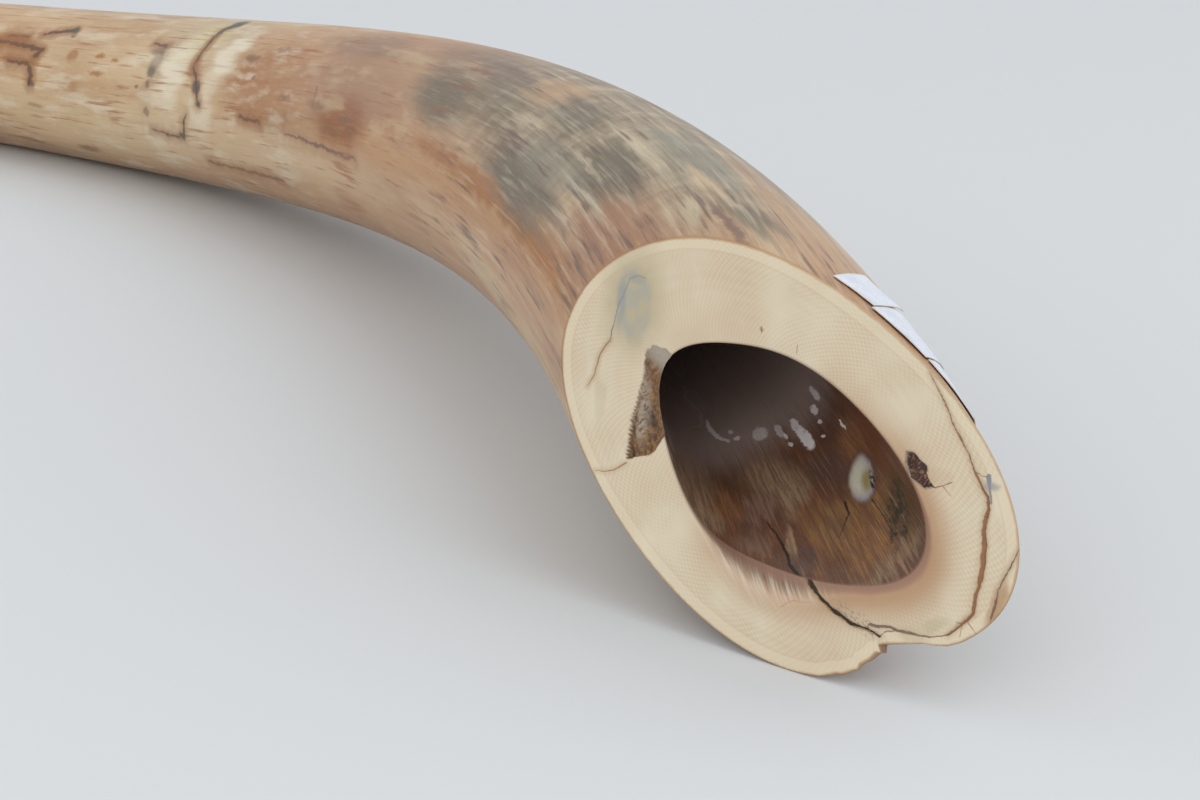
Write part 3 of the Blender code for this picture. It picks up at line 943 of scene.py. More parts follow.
class Tree:
    """A node tree, built by short calls that each give back an output socket."""

    def __init__(self, tree: bpy.types.NodeTree) -> None:
        """Starts on a tree that nodes are added to."""
        self.tree = tree

    def add(self, kind: str, inputs: dict[str | int, Value] | None = None,
            **settings: object) -> bpy.types.Node:
        """Adds a node, sets its properties and fills its inputs.

        Args:
            kind: the node's type.
            inputs: what its inputs get, by name or number.
            **settings: its properties.

        Returns:
            The node.
        """
        node = self.tree.nodes.new(kind)
        for key, value in settings.items():
            setattr(node, key, value)
        for key, value in (inputs or {}).items():
            self.put(node.inputs[key], value)
        return node

    def put(self, socket: Socket, value: Value) -> None:
        """Links a socket into an input, or sets the input's constant.

        Args:
            socket: the input.
            value: a socket, or a constant. A colour gets full opacity.
        """
        if isinstance(value, bpy.types.NodeSocket):
            self.tree.links.new(value, socket)
        elif socket.type == "RGBA" and not isinstance(value, (int, float)):
            socket.default_value = (*value, 1.0)
        else:
            socket.default_value = value

    def math(self, operation: str, *values: Value) -> Socket:
        """One arithmetic step on numbers."""
        node = self.add("ShaderNodeMath", dict(enumerate(values)), operation=operation)
        return node.outputs[0]

    def times(self, *values: Value) -> Socket:
        """The product of several numbers."""
        return reduce(lambda total, value: self.math("MULTIPLY", total, value), values)

    def vector(self, operation: str, *values: Value) -> Socket:
        """One arithmetic step on vectors.

        Args:
            operation: the step.
            *values: what goes in. The second value of SCALE is a number.

        Returns:
            A vector, or a number for a length, a distance or a dot product.
        """
        keys = (0, "Scale") if operation == "SCALE" else range(3)
        node = self.add("ShaderNodeVectorMath", dict(zip(keys, values)), operation=operation)
        single = operation in ("LENGTH", "DISTANCE", "DOT_PRODUCT")
        return node.outputs["Value" if single else "Vector"]

    def attribute(self, name: str, scale: float = 1.0) -> Socket:
        """A vector kept on the mesh, scaled."""
        node = self.add("ShaderNodeAttribute", attribute_name=name)
        return self.vector("SCALE", node.outputs["Vector"], scale)

    def parts(self, vector: Socket) -> tuple[Socket, Socket, Socket]:
        """The three coordinates of a vector."""
        return tuple(self.add("ShaderNodeSeparateXYZ", {0: vector}).outputs)

    def join(self, x: Value, y: Value, z: Value = 0.0) -> Socket:
        """A vector of three numbers."""
        return self.add("ShaderNodeCombineXYZ", {0: x, 1: y, 2: z}).outputs[0]

    def step(self, low: Value, high: Value, value: Socket, top: float = 1.0) -> Socket:
        """A cubic step over a value.

        Args:
            low: where it begins at 0. It may be above high.
            high: where it ends at top.
            value: what it is read at.
            top: its highest value.

        Returns:
            The step.
        """
        inputs = {"Value": value, "From Min": low, "From Max": high, "To Max": top}
        node = self.add("ShaderNodeMapRange", inputs, interpolation_type="SMOOTHSTEP")
        return node.outputs["Result"]

    def mix(self, share: Value, first: Value, second: Value) -> Socket:
        """Blends two colours: the first at a share of 0, the second at 1."""
        return self.add("ShaderNodeMix", {0: share, 6: first, 7: second}, data_type="RGBA",
                        clamp_factor=True).outputs[2]

    def paint(self, colour: Value, *layers: tuple[Value, Value]) -> Socket:
        """The colour with further colours over it, each given after its own mask."""
        return reduce(lambda under, layer: self.mix(layer[0], under, layer[1]), layers, colour)

    def noise(self, place: Socket, stretch: tuple[float, float, float], detail: float = 3.0,
              roughness: float = 0.55, distortion: float = 0.0) -> Socket:
        """Noise from 0 to 1.

        Args:
            place: where it is read.
            stretch: cells for each unit of the place, along its three axes.
            detail: octaves.
            roughness: strength of each octave against the one before.
            distortion: how far the noise pushes itself about.

        Returns:
            The noise.
        """
        scaled = self.vector("MULTIPLY", place, stretch)
        return self.add("ShaderNodeTexNoise", {
            "Vector": scaled, "Scale": 1.0, "Detail": detail, "Roughness": roughness,
            "Distortion": distortion}).outputs["Fac"]

    def warp(self, place: Socket, size: float, amount: float, detail: float = 2.0) -> Socket:
        """The place pushed about by coloured noise.

        Args:
            place: the place.
            size: width of the noise's cells.
            amount: how far it is pushed at most, each way.
            detail: octaves.

        Returns:
            The new place.
        """
        node = self.add("ShaderNodeTexNoise", {"Vector": place, "Scale": 1 / size,
                                               "Detail": detail})
        away = self.vector("SUBTRACT", node.outputs["Color"], (0.5, 0.5, 0.5))
        return self.vector("ADD", place, self.vector("SCALE", away, 2 * amount))

    def turned(self, place: Socket, x: float, y: float) -> Socket:
        """The place in axes turned so that the first one runs along (x, y)."""
        return self.join(self.vector("DOT_PRODUCT", place, (x, y, 0.0)),
                         self.vector("DOT_PRODUCT", place, (-y, x, 0.0)))

    def blob(self, place: Socket, centre: tuple[float, float], size: tuple[float, float],
             turn: float = 0.0, soft: float = 0.35) -> Socket:
        """1 inside an ellipse and 0 outside, with a soft edge.

        Args:
            place: the place, in the ellipse's own unit.
            centre: the ellipse's centre.
            size: its two half axes.
            turn: degrees from the first axis of the place to its first half axis.
            soft: share of the size over which the edge fades, each way.

        Returns:
            The mask.
        """
        node = self.add("ShaderNodeMapping", {
            "Vector": place, "Location": (*centre, 0.0), "Scale": (*size, 1e6),
            "Rotation": (0.0, 0.0, math.radians(turn))}, vector_type="TEXTURE")
        return self.step(1 + soft, 1 - soft, self.vector("LENGTH", node.outputs[0]))

    def patches(self, place: Socket, colour: Socket, patches: Sequence[Patch], soft: float = 0.5,
                *masks: Socket) -> Socket:
        """Blends soft ellipses over a colour, one after another.

        Args:
            place: the place.
            colour: the colour so far.
            patches: each one's centre, two half axes, turn in degrees, strength and colour.
            soft: share of the size over which the edges fade, each way.
            *masks: what also weakens all of them.

        Returns:
            The colour with the patches.
        """
        for x, y, wide, tall, turn, strength, tint in patches:
            mask = self.blob(place, (x, y), (wide, tall), turn, soft)
            colour = self.mix(self.times(mask, *masks, strength), colour, tint)
        return colour

    def crack(self, place: Socket, crack: Crack) -> Socket:
        """Distance in millimetres beyond a crack's edges, the least over its stretches.

        Args:
            place: place in millimetres.
            crack: the crack.

        Returns:
            The distance, below 0 inside.
        """
        path = np.array(crack.path_mm, float)
        before = np.concatenate([[0], np.cumsum(np.linalg.norm(np.diff(path, axis=0), axis=1))])
        half = crack.width_at(before / before[-1]) / 2
        gaps = []
        for index, (start, end) in enumerate(zip(path, path[1:])):
            step = end - start
            values = (place, (*start, 0.0), (*step, 0.0), 1 / float(step @ step),
                      float(half[index]), float(half[index + 1] - half[index]))
            node = self.add("ShaderNodeGroup", node_tree=crack_stretch())
            for socket, value in zip(node.inputs, values):
                self.put(socket, value)
            gaps.append(node.outputs[0])
        return reduce(lambda least, gap: self.math("MINIMUM", least, gap), gaps)

    def cracks(self, place: Socket, colour: Socket, cracks: Sequence[Crack],
               stain: Colour = (0.40, 0.28, 0.16), reach: float = 2.2,
               soft: float = 0.16) -> Socket:
        """Draws cracks over a colour: each stains its edges a little and has its own colour inside.

        Args:
            place: place in millimetres.
            colour: the colour so far.
            cracks: the cracks.
            stain: what the edges tend to.
            reach: how far the stain goes, in millimetres.
            soft: half the width of the crack's own edge, in millimetres.

        Returns:
            The colour with the cracks.
        """
        for crack in cracks:
            gap = self.crack(place, crack)
            if crack.halo:
                colour = self.mix(self.step(reach, 0.0, gap, crack.halo * 0.8), colour, stain)
            colour = self.mix(self.step(soft, -soft, gap), colour, crack.colour)
        return colour


class Shader(Tree):
    """A material's node tree round one principled surface."""

    def __init__(self, name: str, roughness: float = 0.5, ior: float = 1.5) -> None:
        """Starts a material.

        Args:
            name: the material's name.
            roughness: used until a node gives the roughness.
            ior: index of refraction, which stays constant.
        """
        self.material = bpy.data.materials.new(name)
        self.material.use_nodes = True
        super().__init__(self.material.node_tree)
        self.tree.nodes.clear()
        self.surface = self.add("ShaderNodeBsdfPrincipled", {"Roughness": roughness, "IOR": ior})
        self.add("ShaderNodeOutputMaterial", {"Surface": self.surface.outputs["BSDF"]})

    def finish(self, colour: Socket, roughness: Value, height: Socket, strength: float,
               depth: float) -> bpy.types.Material:
        """Links the colour, the roughness and a bump of the height, and gives the material.

        Args:
            colour: base colour.
            roughness: roughness.
            height: bump height from 0 to 1.
            strength: bump strength.
            depth: metres that a height of 1 stands for.

        Returns:
            The material.
        """
        bump = self.add("ShaderNodeBump", {"Strength": strength, "Distance": depth,
                                           "Height": height})
        for name, value in (("Base Color", colour), ("Roughness", roughness),
                            ("Normal", bump.outputs[0])):
            self.put(self.surface.inputs[name], value)
        return self.material


def crack_stretch() -> bpy.types.NodeTree:
    """The node group for one stretch of a crack.

    With t the projection of the place on the stretch, held from 0 to 1, it gives the distance from
    the stretch's point at t, less the crack's half width there.

    Returns:
        The group, made once and then used again.
    """
    name = "crack_stretch"
    if name in bpy.data.node_groups:
        return bpy.data.node_groups[name]
    group = bpy.data.node_groups.new(name, "ShaderNodeTree")
    sockets = {"Place": "Vector", "Start": "Vector", "Step": "Vector", "Inverse": "Float",
               "Half": "Float", "Change": "Float", "Gap": "Float"}
    for label, kind in sockets.items():
        group.interface.new_socket(label, in_out="OUTPUT" if label == "Gap" else "INPUT",
                                   socket_type=f"NodeSocket{kind}")
    tree = Tree(group)
    given = tree.add("NodeGroupInput").outputs
    flat = tree.vector("MULTIPLY", given["Place"], (1.0, 1.0, 0.0))
    from_start = tree.vector("SUBTRACT", flat, given["Start"])
    share = tree.times(tree.vector("DOT_PRODUCT", from_start, given["Step"]), given["Inverse"])
    share = tree.math("MAXIMUM", tree.math("MINIMUM", share, 1.0), 0.0)
    away = tree.vector("DISTANCE", from_start, tree.vector("SCALE", given["Step"], share))
    half = tree.math("ADD", given["Half"], tree.times(given["Change"], share))
    tree.add("NodeGroupOutput", {0: tree.math("SUBTRACT", away, half)})
    return group


@dataclass(frozen=True)
class SawnIvory:
    """Sawn ivory: cream, faintly cross-hatched, stained round the cavity and along its cracks."""

    cream: Colour = (0.665, 0.60, 0.465)
    deeper: Colour = (0.62, 0.53, 0.385)
    peach: Colour = (0.38, 0.205, 0.095)
    veil: Colour = (0.30, 0.17, 0.12)
    lip: Colour = (0.52, 0.385, 0.27)
    streak: Colour = (0.60, 0.52, 0.43)
    # painted shade on the wide lip where it curves down into the cavity
    painted_lip_shade: Colour = (0.17, 0.10, 0.065)
    rim: Colour = (0.42, 0.25, 0.11)
    rim_band: Colour = (0.67, 0.59, 0.44)
    khaki: Colour = (0.43, 0.37, 0.24)
    grey: Colour = (0.35, 0.345, 0.29)
    slate: Colour = (0.25, 0.27, 0.275)
    resin: Colour = (0.41, 0.365, 0.30)
    brown: Colour = (0.15, 0.085, 0.045)
    ridge: Colour = (0.40, 0.34, 0.27)
    amber: Colour = (0.34, 0.18, 0.07)
    pit: Colour = (0.075, 0.035, 0.03)
    line: Colour = (0.44, 0.33, 0.20)
    crumb: Colour = (0.24, 0.20, 0.165)
    # painted shade for the deepest parts of the wedge-shaped chip
    painted_depth_shade: Colour = (0.02, 0.014, 0.01)
    thread: Colour = (0.34, 0.19, 0.11)
    hatch_turns: float = 200.0
    hatch_mm: float = 1.7
    ring_mm: float = 3.4
    fibre_turn: float = -14.0

    def hatching(self, shader: Shader, grain: Socket) -> Socket:
        """Crossed curved lines: two sines of the angle plus and minus the radius.

        Args:
            shader: the material in work.
            grain: place in the straightened tusk, in metres.

        Returns:
            The lines, from 0 to 1.
        """
        x, y, _ = shader.parts(shader.warp(grain, 0.022, 0.0011))
        turns = shader.times(shader.math("ARCTAN2", y, x), self.hatch_turns)
        radius = shader.vector("LENGTH", shader.join(x, y))
        rise = shader.times(radius, 2000 * math.pi / self.hatch_mm)
        both = [shader.math("SINE", shader.math(way, turns, rise)) for way in ("ADD", "SUBTRACT")]
        return shader.math("MULTIPLY_ADD", shader.math("ADD", *both), 0.25, 0.5)

    def growth(self, shader: Shader, grain: Socket) -> Socket:
        """Uneven growth lines round the cavity: a sine of the radius pushed by noise.

        Args:
            shader: the material in work.
            grain: place in the straightened tusk, in metres.

        Returns:
            The lines, from 0 to 1.
        """
        x, y, _ = shader.parts(grain)
        radius = shader.vector("LENGTH", shader.join(x, y))
        push = shader.noise(grain, (35.0, 35.0, 35.0))
        wave = shader.math("ADD", shader.times(radius, 2000 * math.pi / self.ring_mm),
                           shader.times(push, 6.0))
        return shader.math("MULTIPLY_ADD", shader.math("SINE", wave), 0.5, 0.5)

    def ground(self, shader: Shader, flat: Socket, grain: Socket, edges: Socket) -> Socket:
        """The ivory's own colour, its outer edge, the warm stain at the cavity, and the torn lip
        there with painted shade.

        Args:
            shader: the material in work.
            flat: place on the face in millimetres.
            grain: place in the straightened tusk, in metres.
            edges: distances from the cavity's rim and from the outer rim, and the lip, in mm.

        Returns:
            The colour.
        """
        from_cavity, from_rim, lip = shader.parts(edges)
        x, y, _ = shader.parts(grain)
        wide = shader.noise(flat, (0.035, 0.035, 0.02), 2.0)
        patchy = shader.noise(flat, (0.05, 0.05, 0.05), 2.0)
        warm = shader.noise(flat, (0.022, 0.022, 0.022), 2.0, 0.6)
        round_rim = shader.join(shader.math("ARCTAN2", y, x), from_rim)
        rays = shader.noise(round_rim, (14.0, 0.05, 1.0), 3.0)
        line = shader.blob(shader.join(from_rim, 0.0), (4.9, 0.0), (0.35, 1.0), 0, 0.8)
        edge = shader.math("ADD", from_rim, shader.noise(flat, (0.2, 0.2, 0.2)))
        low = shader.blob(flat, (48.0, -8.0), (62.0, 46.0), 0, 0.4)
        push = shader.times(shader.noise(flat, (0.12, 0.12, 0.12)), 2.5)
        pushed = shader.math("ADD", from_cavity, push)
        hatch = shader.times(self.hatching(shader, grain), shader.step(0.30, 0.55, wide), 0.40)
        rings = shader.times(self.growth(shader, grain), shader.step(0.40, 0.65, patchy, 0.10))
        colour = shader.paint(
            shader.mix(wide, self.cream, self.deeper), (hatch, self.line), (rings, self.line),
            (shader.step(0.42, 0.66, warm, 0.17), self.peach),
            (shader.step(0.60, 0.74, rays, 0.22), self.rim_band),
            (shader.times(shader.step(5.6, 4.2, from_rim), 0.55), self.rim_band),
            (shader.times(line, 0.14), self.peach),
            (shader.step(1.7, 0.6, edge, 0.85), self.rim),
            (shader.times(shader.step(16.0, 1.0, from_cavity), low, 0.84), self.peach),
            (shader.times(shader.step(3.2, 1.2, pushed), low, 0.60), self.veil))
        lip_zone = shader.math("DIVIDE", from_cavity, shader.math("ADD", lip, 0.01))
        turn = math.radians(self.fibre_turn)
        fibres = shader.noise(shader.turned(flat, math.cos(turn), math.sin(turn)),
                              (0.045, 0.85, 1.0), 4.0, 0.6)
        even = shader.math("SUBTRACT", fibres, 0.5)
        reach = shader.math("MULTIPLY_ADD", even, 1.6, lip_zone)
        # painted shade: the wide lip turns darker towards the cavity, where it curves down into the
        # hollow
        dark = shader.math("MULTIPLY_ADD", even, 1.3, lip_zone)
        on_lip = shader.times(shader.step(1.9, 0.2, reach), shader.step(1.8, 5.5, lip), 0.92)
        torn = shader.paint(self.lip, (shader.step(0.46, 0.64, fibres), self.streak),
                            (shader.step(0.72, -0.1, dark), self.painted_lip_shade))
        thin = shader.times(shader.step(1.5, 0.15, from_cavity), 0.75)
        return shader.paint(colour, (on_lip, torn), (thin, shader.mix(low, self.brown, self.veil)))

    def stains(self, shader: Shader, flat: Socket, colour: Socket) -> Socket:
        """The khaki and grey patch near the upper end, and small grey and brown blotches.

        Args:
            shader: the material in work.
            flat: place on the face in millimetres.
            colour: the colour so far.

        Returns:
            The colour with the stains.
        """
        near = shader.warp(flat, 6.0, 2.2)
        clouds = shader.noise(flat, (0.12, 0.12, 1.0), 2.0)
        grain = shader.mix(shader.step(0.40, 0.70, clouds), self.grey, self.khaki)
        specks = shader.step(0.50, 0.58, shader.noise(flat, (0.55, 0.9, 1.0), 4.0, 0.7))
        layers = (((-82, 3, 18.5, 13.5, -46, 0.85, self.khaki), 0.5),
                  ((-80.8, 3, 14.5, 6.6, -46, 0.85, grain), 0.24),
                  ((-86.3, 0, 9.5, 2, -55, 0.6, self.slate), 0.5),
                  ((-86.5, 10, 4, 1.8, 20, 0.45, self.slate), 0.6),
                  ((66, -21, 11, 2.6, 8, 0.8, self.crumb), 0.4, specks))
        for patch, *softness in layers:
            colour = shader.patches(near, colour, (patch,), *softness)
        return shader.patches(near, colour, (
            (73.5, 44.5, 3.4, 1.6, 35, 0.7, self.slate), (88, -3, 5, 2.4, 60, 0.6, self.khaki),
            (84, -11, 6, 2.2, 20, 0.5, self.khaki), (100.5, 17, 7, 2.4, -70, 0.8, self.peach),
            (58, 35, 5, 3, 10, 0.2, self.peach), (-70, -32, 9, 2.5, -45, 0.35, self.khaki),
            (-31, 29, 1.3, 0.7, 0, 0.6, self.brown)))

    def chips(self, shader: Shader, flat: Socket, marks: Socket, colour: Socket) -> Socket:
        """The wedge's resin, brown sides, pale ridge and amber lumps, painted shade in its deepest
        parts, and the dark pit.

        Args:
            shader: the material in work.
            flat: place on the face in millimetres.
            marks: sunk depth in mm, and 1 in the wedge or 2 in the pit.
            colour: the colour so far.

        Returns:
            The colour with the chips.
        """
        sunk, mark, _ = shader.parts(marks)
        near = shader.warp(flat, 3.0, 1.0)
        _, across, _ = shader.parts(near)
        crumbs = shader.noise(flat, (0.7, 0.7, 0.7), 4.0, 0.65)
        rough = shader.noise(flat, (0.9, 0.35, 0.5), 4.0, 0.7, 1.0)
        comb = shader.noise(shader.turned(flat, 0.62, -0.78), (1.5, 0.22, 1.0), 2.0)
        thread = shader.noise(flat, (1.6, 0.5, 1.0), 3.0)
        ridge = shader.blob(near, (-53.0, -24.0), (13.5, 2.8), -52, 0.5)
        lumps = shader.blob(near, (-42.0, -34.0), (6.0, 4.0), -50, 0.4)
        # the last layer is painted shade: the chip turns nearly black where it is sunk deeper than
        # about 3 mm
        inside = shader.paint(
            self.brown, (shader.step(0.42, 0.62, crumbs), self.amber),
            (shader.step(0.52, 0.66, comb, 0.7), self.brown),
            (shader.times(ridge, shader.step(0.38, 0.52, rough)), self.ridge),
            (shader.times(shader.step(-11.0, -5.5, across), 0.85), self.resin),
            (shader.times(lumps, shader.step(0.45, 0.6, crumbs)), self.amber),
            (shader.step(2.6, 4.4, sunk, 0.85), self.painted_depth_shade))
        hollow = shader.mix(shader.step(0.50, 0.66, thread), self.pit, self.thread)
        return shader.paint(colour, (shader.step(0.1, 0.8, mark), inside),
                            (shader.step(1.1, 1.7, mark), hollow))

    def make(self) -> bpy.types.Material:
        """Makes the material from the three steps, the cracks and fine saw marks.

        Returns:
            The material.
        """
        shader = Shader("sawn_ivory", 0.5, 1.53)
        flat = shader.attribute("flat", 1000)
        grain = shader.attribute("grain")
        edges = shader.attribute("edges", 1000)
        marks = shader.vector("MULTIPLY", shader.attribute("marks"), (1000.0, 1.0, 1.0))
        colour = self.ground(shader, flat, grain, edges)
        colour = self.stains(shader, flat, colour)
        colour = self.chips(shader, flat, marks, colour)
        wandering = shader.warp(shader.warp(flat, 3.0, 0.5), 0.8, 0.20)
        colour = shader.cracks(wandering, colour, CRACKS)
        inside = shader.step(0.1, 0.8, shader.parts(marks)[1])
        saw = shader.noise(flat, (2.2, 0.08, 1.0), 2.0)
        pores = shader.noise(flat, (1.4, 1.4, 1.4), 4.0, 0.7)
        height = shader.math("ADD", shader.times(saw, 0.05),
                             shader.times(self.hatching(shader, grain), 0.03))
        height = shader.math("ADD", height, shader.times(pores, inside, 1.4))
        rough = shader.math("ADD", 0.44, shader.times(shader.noise(flat, (0.3, 0.3, 0.3)), 0.14))
        rough = shader.math("ADD", rough, shader.times(inside, 0.1))
        return shader.finish(colour, rough, height, 0.8, 0.0006)


@dataclass(frozen=True)
class CavityWall:
    """The pulp cavity's wall: dark stained dentine, paler and golden towards the cut, with painted
    light far inside.
    """

    # painted light: the far part of the wall is painted paler than the wall near the cut, standing
    # in for light that barely reaches so deep
    deep: Colour = (0.33, 0.25, 0.225)
    umber: Colour = (0.105, 0.052, 0.033)
    russet: Colour = (0.15, 0.060, 0.028)
    purple: Colour = (0.095, 0.056, 0.046)
    khaki: Colour = (0.32, 0.22, 0.135)
    gold: Colour = (0.31, 0.155, 0.055)
    # pale grey of the flaking layers, also used for two painted highlights
    flake_and_glint: Colour = (0.74, 0.70, 0.71)
    pale: Colour = (0.52, 0.49, 0.40)
    lilac: Colour = (0.36, 0.33, 0.34)
    ink: Colour = (0.018, 0.018, 0.045)
    olive: Colour = (0.28, 0.23, 0.10)
    soot: Colour = (0.025, 0.026, 0.016)
    # painted light: a pale glow deep in the cavity
    painted_far_glow: Colour = (0.50, 0.42, 0.40)
    fresh: Colour = (0.24, 0.14, 0.09)
    round_mm: float = 36.0
    slide_mm: float = 34.0
    line_mm: float = 0.9

    def zones(self) -> tuple[Patch, ...]:
        """Soft patches on the unrolled wall.

        Returns:
            For each its centre, half axes, turn, strength and colour.
        """
        return (
            (-80, 38, 11, 32, 0, 0.85, (0.40, 0.26, 0.16)), (-92, 20, 8, 30, 0, 0.5, self.khaki),
            (-43, 29, 10, 18, 20, 0.80, self.khaki), (-40, 14, 5, 12, -20, 0.6, self.khaki),
            (-21, 20, 9, 11, 0, 0.9, self.purple), (-55, 17, 8, 8, 0, 0.9, (0.22, 0.125, 0.10)),
            (-66, 20, 6, 10, 0, 0.85, (0.24, 0.105, 0.042)), (-73, 12, 5, 8, 0, 0.5, self.khaki),
            (-60, -2, 6, 7, 0, 0.7, (0.20, 0.12, 0.08)),
            (-8, 20, 8, 12, 10, 0.85, (0.25, 0.11, 0.04)),
            (3, 2, 9, 28, 0, 0.92, (0.15, 0.046, 0.016)), (12, -17, 8, 22, 0, 0.8, self.russet),
            (-24, -22, 17, 22, 20, 0.84, self.gold),
            (-32, -8, 8, 12, 0, 0.8, (0.235, 0.135, 0.06)),
            (-37, 0, 6, 9, 0, 0.75, (0.21, 0.10, 0.042)),
            (-48.7, -9, 1.6, 9, -8, 0.85, self.khaki), (-44, -14, 2.6, 8, -10, 0.7, self.russet),
            (-46.5, -20, 5, 7, -20, 0.9, self.purple),
            (-38, -36, 5, 11, -25, 0.9, (0.15, 0.068, 0.032)),
            (-20, -47, 14, 5, 0, 0.6, (0.32, 0.22, 0.13)),
            (-7, -29, 8, 14, 0, 0.95, (0.095, 0.055, 0.020)))

    def make(self) -> bpy.types.Material:
        """Makes the material on the wall unrolled: millimetres round it, and along the tusk.

        Returns:
            The material.
        """
        shader = Shader("cavity_wall", 0.5, 1.5)
        x, y, s = shader.parts(shader.attribute("grain"))
        round_mm = shader.times(shader.math("ARCTAN2", y, x), self.round_mm)
        wall = shader.join(round_mm, shader.times(s, 1000.0))
        from_cavity = shader.parts(shader.attribute("edges", 1000))[0]
        combed = shader.noise(wall, (0.40, 0.016, 1.0), 5.0, 0.7)
        slide = shader.times(shader.math("SUBTRACT", combed, 0.5), self.slide_mm)
        near = shader.vector("ADD", shader.warp(wall, 9.0, 3.0, 4.0), shader.join(0.0, slide))
        _, along, _ = shader.parts(near)
        streaks = shader.noise(wall, (0.60, 0.040, 1.0), 5.0, 0.72)
        clouds = shader.noise(wall, (0.07, 0.035, 1.0), 4.0, 0.6)
        scratches = shader.noise(wall, (1.3, 0.022, 1.0), 4.0, 0.65)
        speckle = shader.noise(wall, (0.55, 0.22, 1.0), 5.0, 0.7)
        lines = shader.math("SINE", shader.times(round_mm, 2 * math.pi / self.line_mm))
        colour = shader.mix(shader.step(0.36, 0.64, clouds), self.umber, self.russet)
        colour = shader.patches(near, colour, self.zones(), 0.45)
        colour = shader.paint(colour, (shader.step(0.44, 0.56, streaks, 0.60), self.umber),
                              (shader.step(0.56, 0.66, scratches, 0.48), self.khaki),
                              (shader.step(0.43, 0.34, scratches, 0.55), self.umber))
        colour = shader.patches(near, colour, ((-26, -30, 16, 20, 0, 0.42, self.umber),), 0.4,
                                shader.step(-0.2, 0.9, lines))
        colour = shader.patches(near, colour, ((-10, -31, 5.5, 13, -35, 0.9, self.soot),), 0.4,
                                shader.step(0.45, 0.55, speckle))
        # painted light: deep in the cavity the wall is painted paler and a pale glow is laid over
        # it, where little light reaches
        painted_far_glow = shader.times(shader.blob(wall, (-54.0, 118.0), (20.0, 30.0), 0, 0.5),
                            shader.step(0.46, 0.66, clouds, 0.25))
        colour = shader.paint(colour, (shader.step(36.0, 70.0, along, 0.93), self.deep),
                              (painted_far_glow, self.painted_far_glow))
        colour = self.flakes_and_glints(shader, wall, colour)
        colour = self.spot(shader, wall, colour)
        colour = shader.cracks(shader.warp(wall, 2.5, 0.4), colour, WALL_CRACKS)
        colour = shader.mix(shader.step(-2.6, -0.3, from_cavity, 0.7), colour, self.fresh)
        height = shader.math("ADD", shader.times(streaks, 0.8), shader.times(speckle, 0.25))
        rough = shader.math("MULTIPLY_ADD", clouds, 0.28, 0.22)
        return shader.finish(colour, rough, height, 0.7, 0.0012)

    def flakes_and_glints(self, shader: Shader, wall: Socket, colour: Socket) -> Socket:
        """Thin grey flaking layers and their wavy outlines, deep on the wall, and two painted
        highlights near its left edge.

        Args:
            shader: the material in work.
            wall: place on the unrolled wall in millimetres.
            colour: the colour so far.

        Returns:
            The colour with the flaking layers, their outlines and the painted highlights.
        """
        torn = shader.warp(wall, 2.4, 1.3, 4.0)
        # the last two rows are no flaking but painted highlights: two glints near the wall's left
        # edge
        places = ((-50.9, 73, 1, 1.6, 0.7), (-49.9, 67, 1.6, 1.5, 0.8), (-39.5, 62, 3.6, 4.6, 0.55),
                  (-31.2, 57.5, 1.6, 5, 0.5), (-30.1, 52, 1, 2.2, 0.9), (-30, 46, 1, 1.8, 0.8),
                  (-24.2, 54, 1.7, 6.5, 0.85), (-23.6, 44, 2.3, 8, 1.0), (-9.9, 60, 1.3, 5.5, 0.8),
                  (-14.4, 54.5, 1.6, 3.2, 0.9), (-15.4, 46, 0.9, 1.6, 0.8),
                  (-8.5, 31.5, 0.6, 4, 0.9), (-17.6, 38, 0.6, 1, 0.8), (-91, 38, 1.4, 6, 0.6),
                  (-84, 62, 2.6, 14, 0.25))
        crumbs = shader.step(0.30, 0.44, shader.noise(wall, (0.4, 0.2, 1.0), 4.0, 0.7))
        rows = [(*place, 0, strength, self.flake_and_glint) for *place, strength in places]
        colour = shader.patches(torn, colour, rows, 0.2, crumbs)
        return shader.cracks(shader.warp(wall, 5.0, 1.6, 4.0), colour, WALL_LINES, soft=0.35)

    def spot(self, shader: Shader, wall: Socket, colour: Socket) -> Socket:
        """The pale oval spot with an olive and dark blue middle and a lilac edge.

        Args:
            shader: the material in work.
            wall: place on the unrolled wall in millimetres.
            colour: the colour so far.

        Returns:
            The colour with the spot.
        """
        near = shader.warp(wall, 3.0, 0.8)
        ink = shader.step(0.42, 0.55, shader.noise(wall, (0.9, 0.4, 1.0)))
        layers = (((-14.2, 1, 6.4, 12.4), 0.25, self.umber),
                  ((-14.2, 1, 5.3, 10.6), 0.22, self.lilac),
                  ((-14.9, 3, 4.2, 8), 0.4, self.pale),
                  ((-13.2, -1.6, 2.6, 4.8), 0.6, self.olive),
                  ((-11.6, -4.6, 1.3, 4.6), 0.4, self.ink, ink))
        for place, soft, tint, *masks in layers:
            colour = shader.patches(near, colour, ((*place, -14, 1.0, tint),), soft, *masks)
        return colour


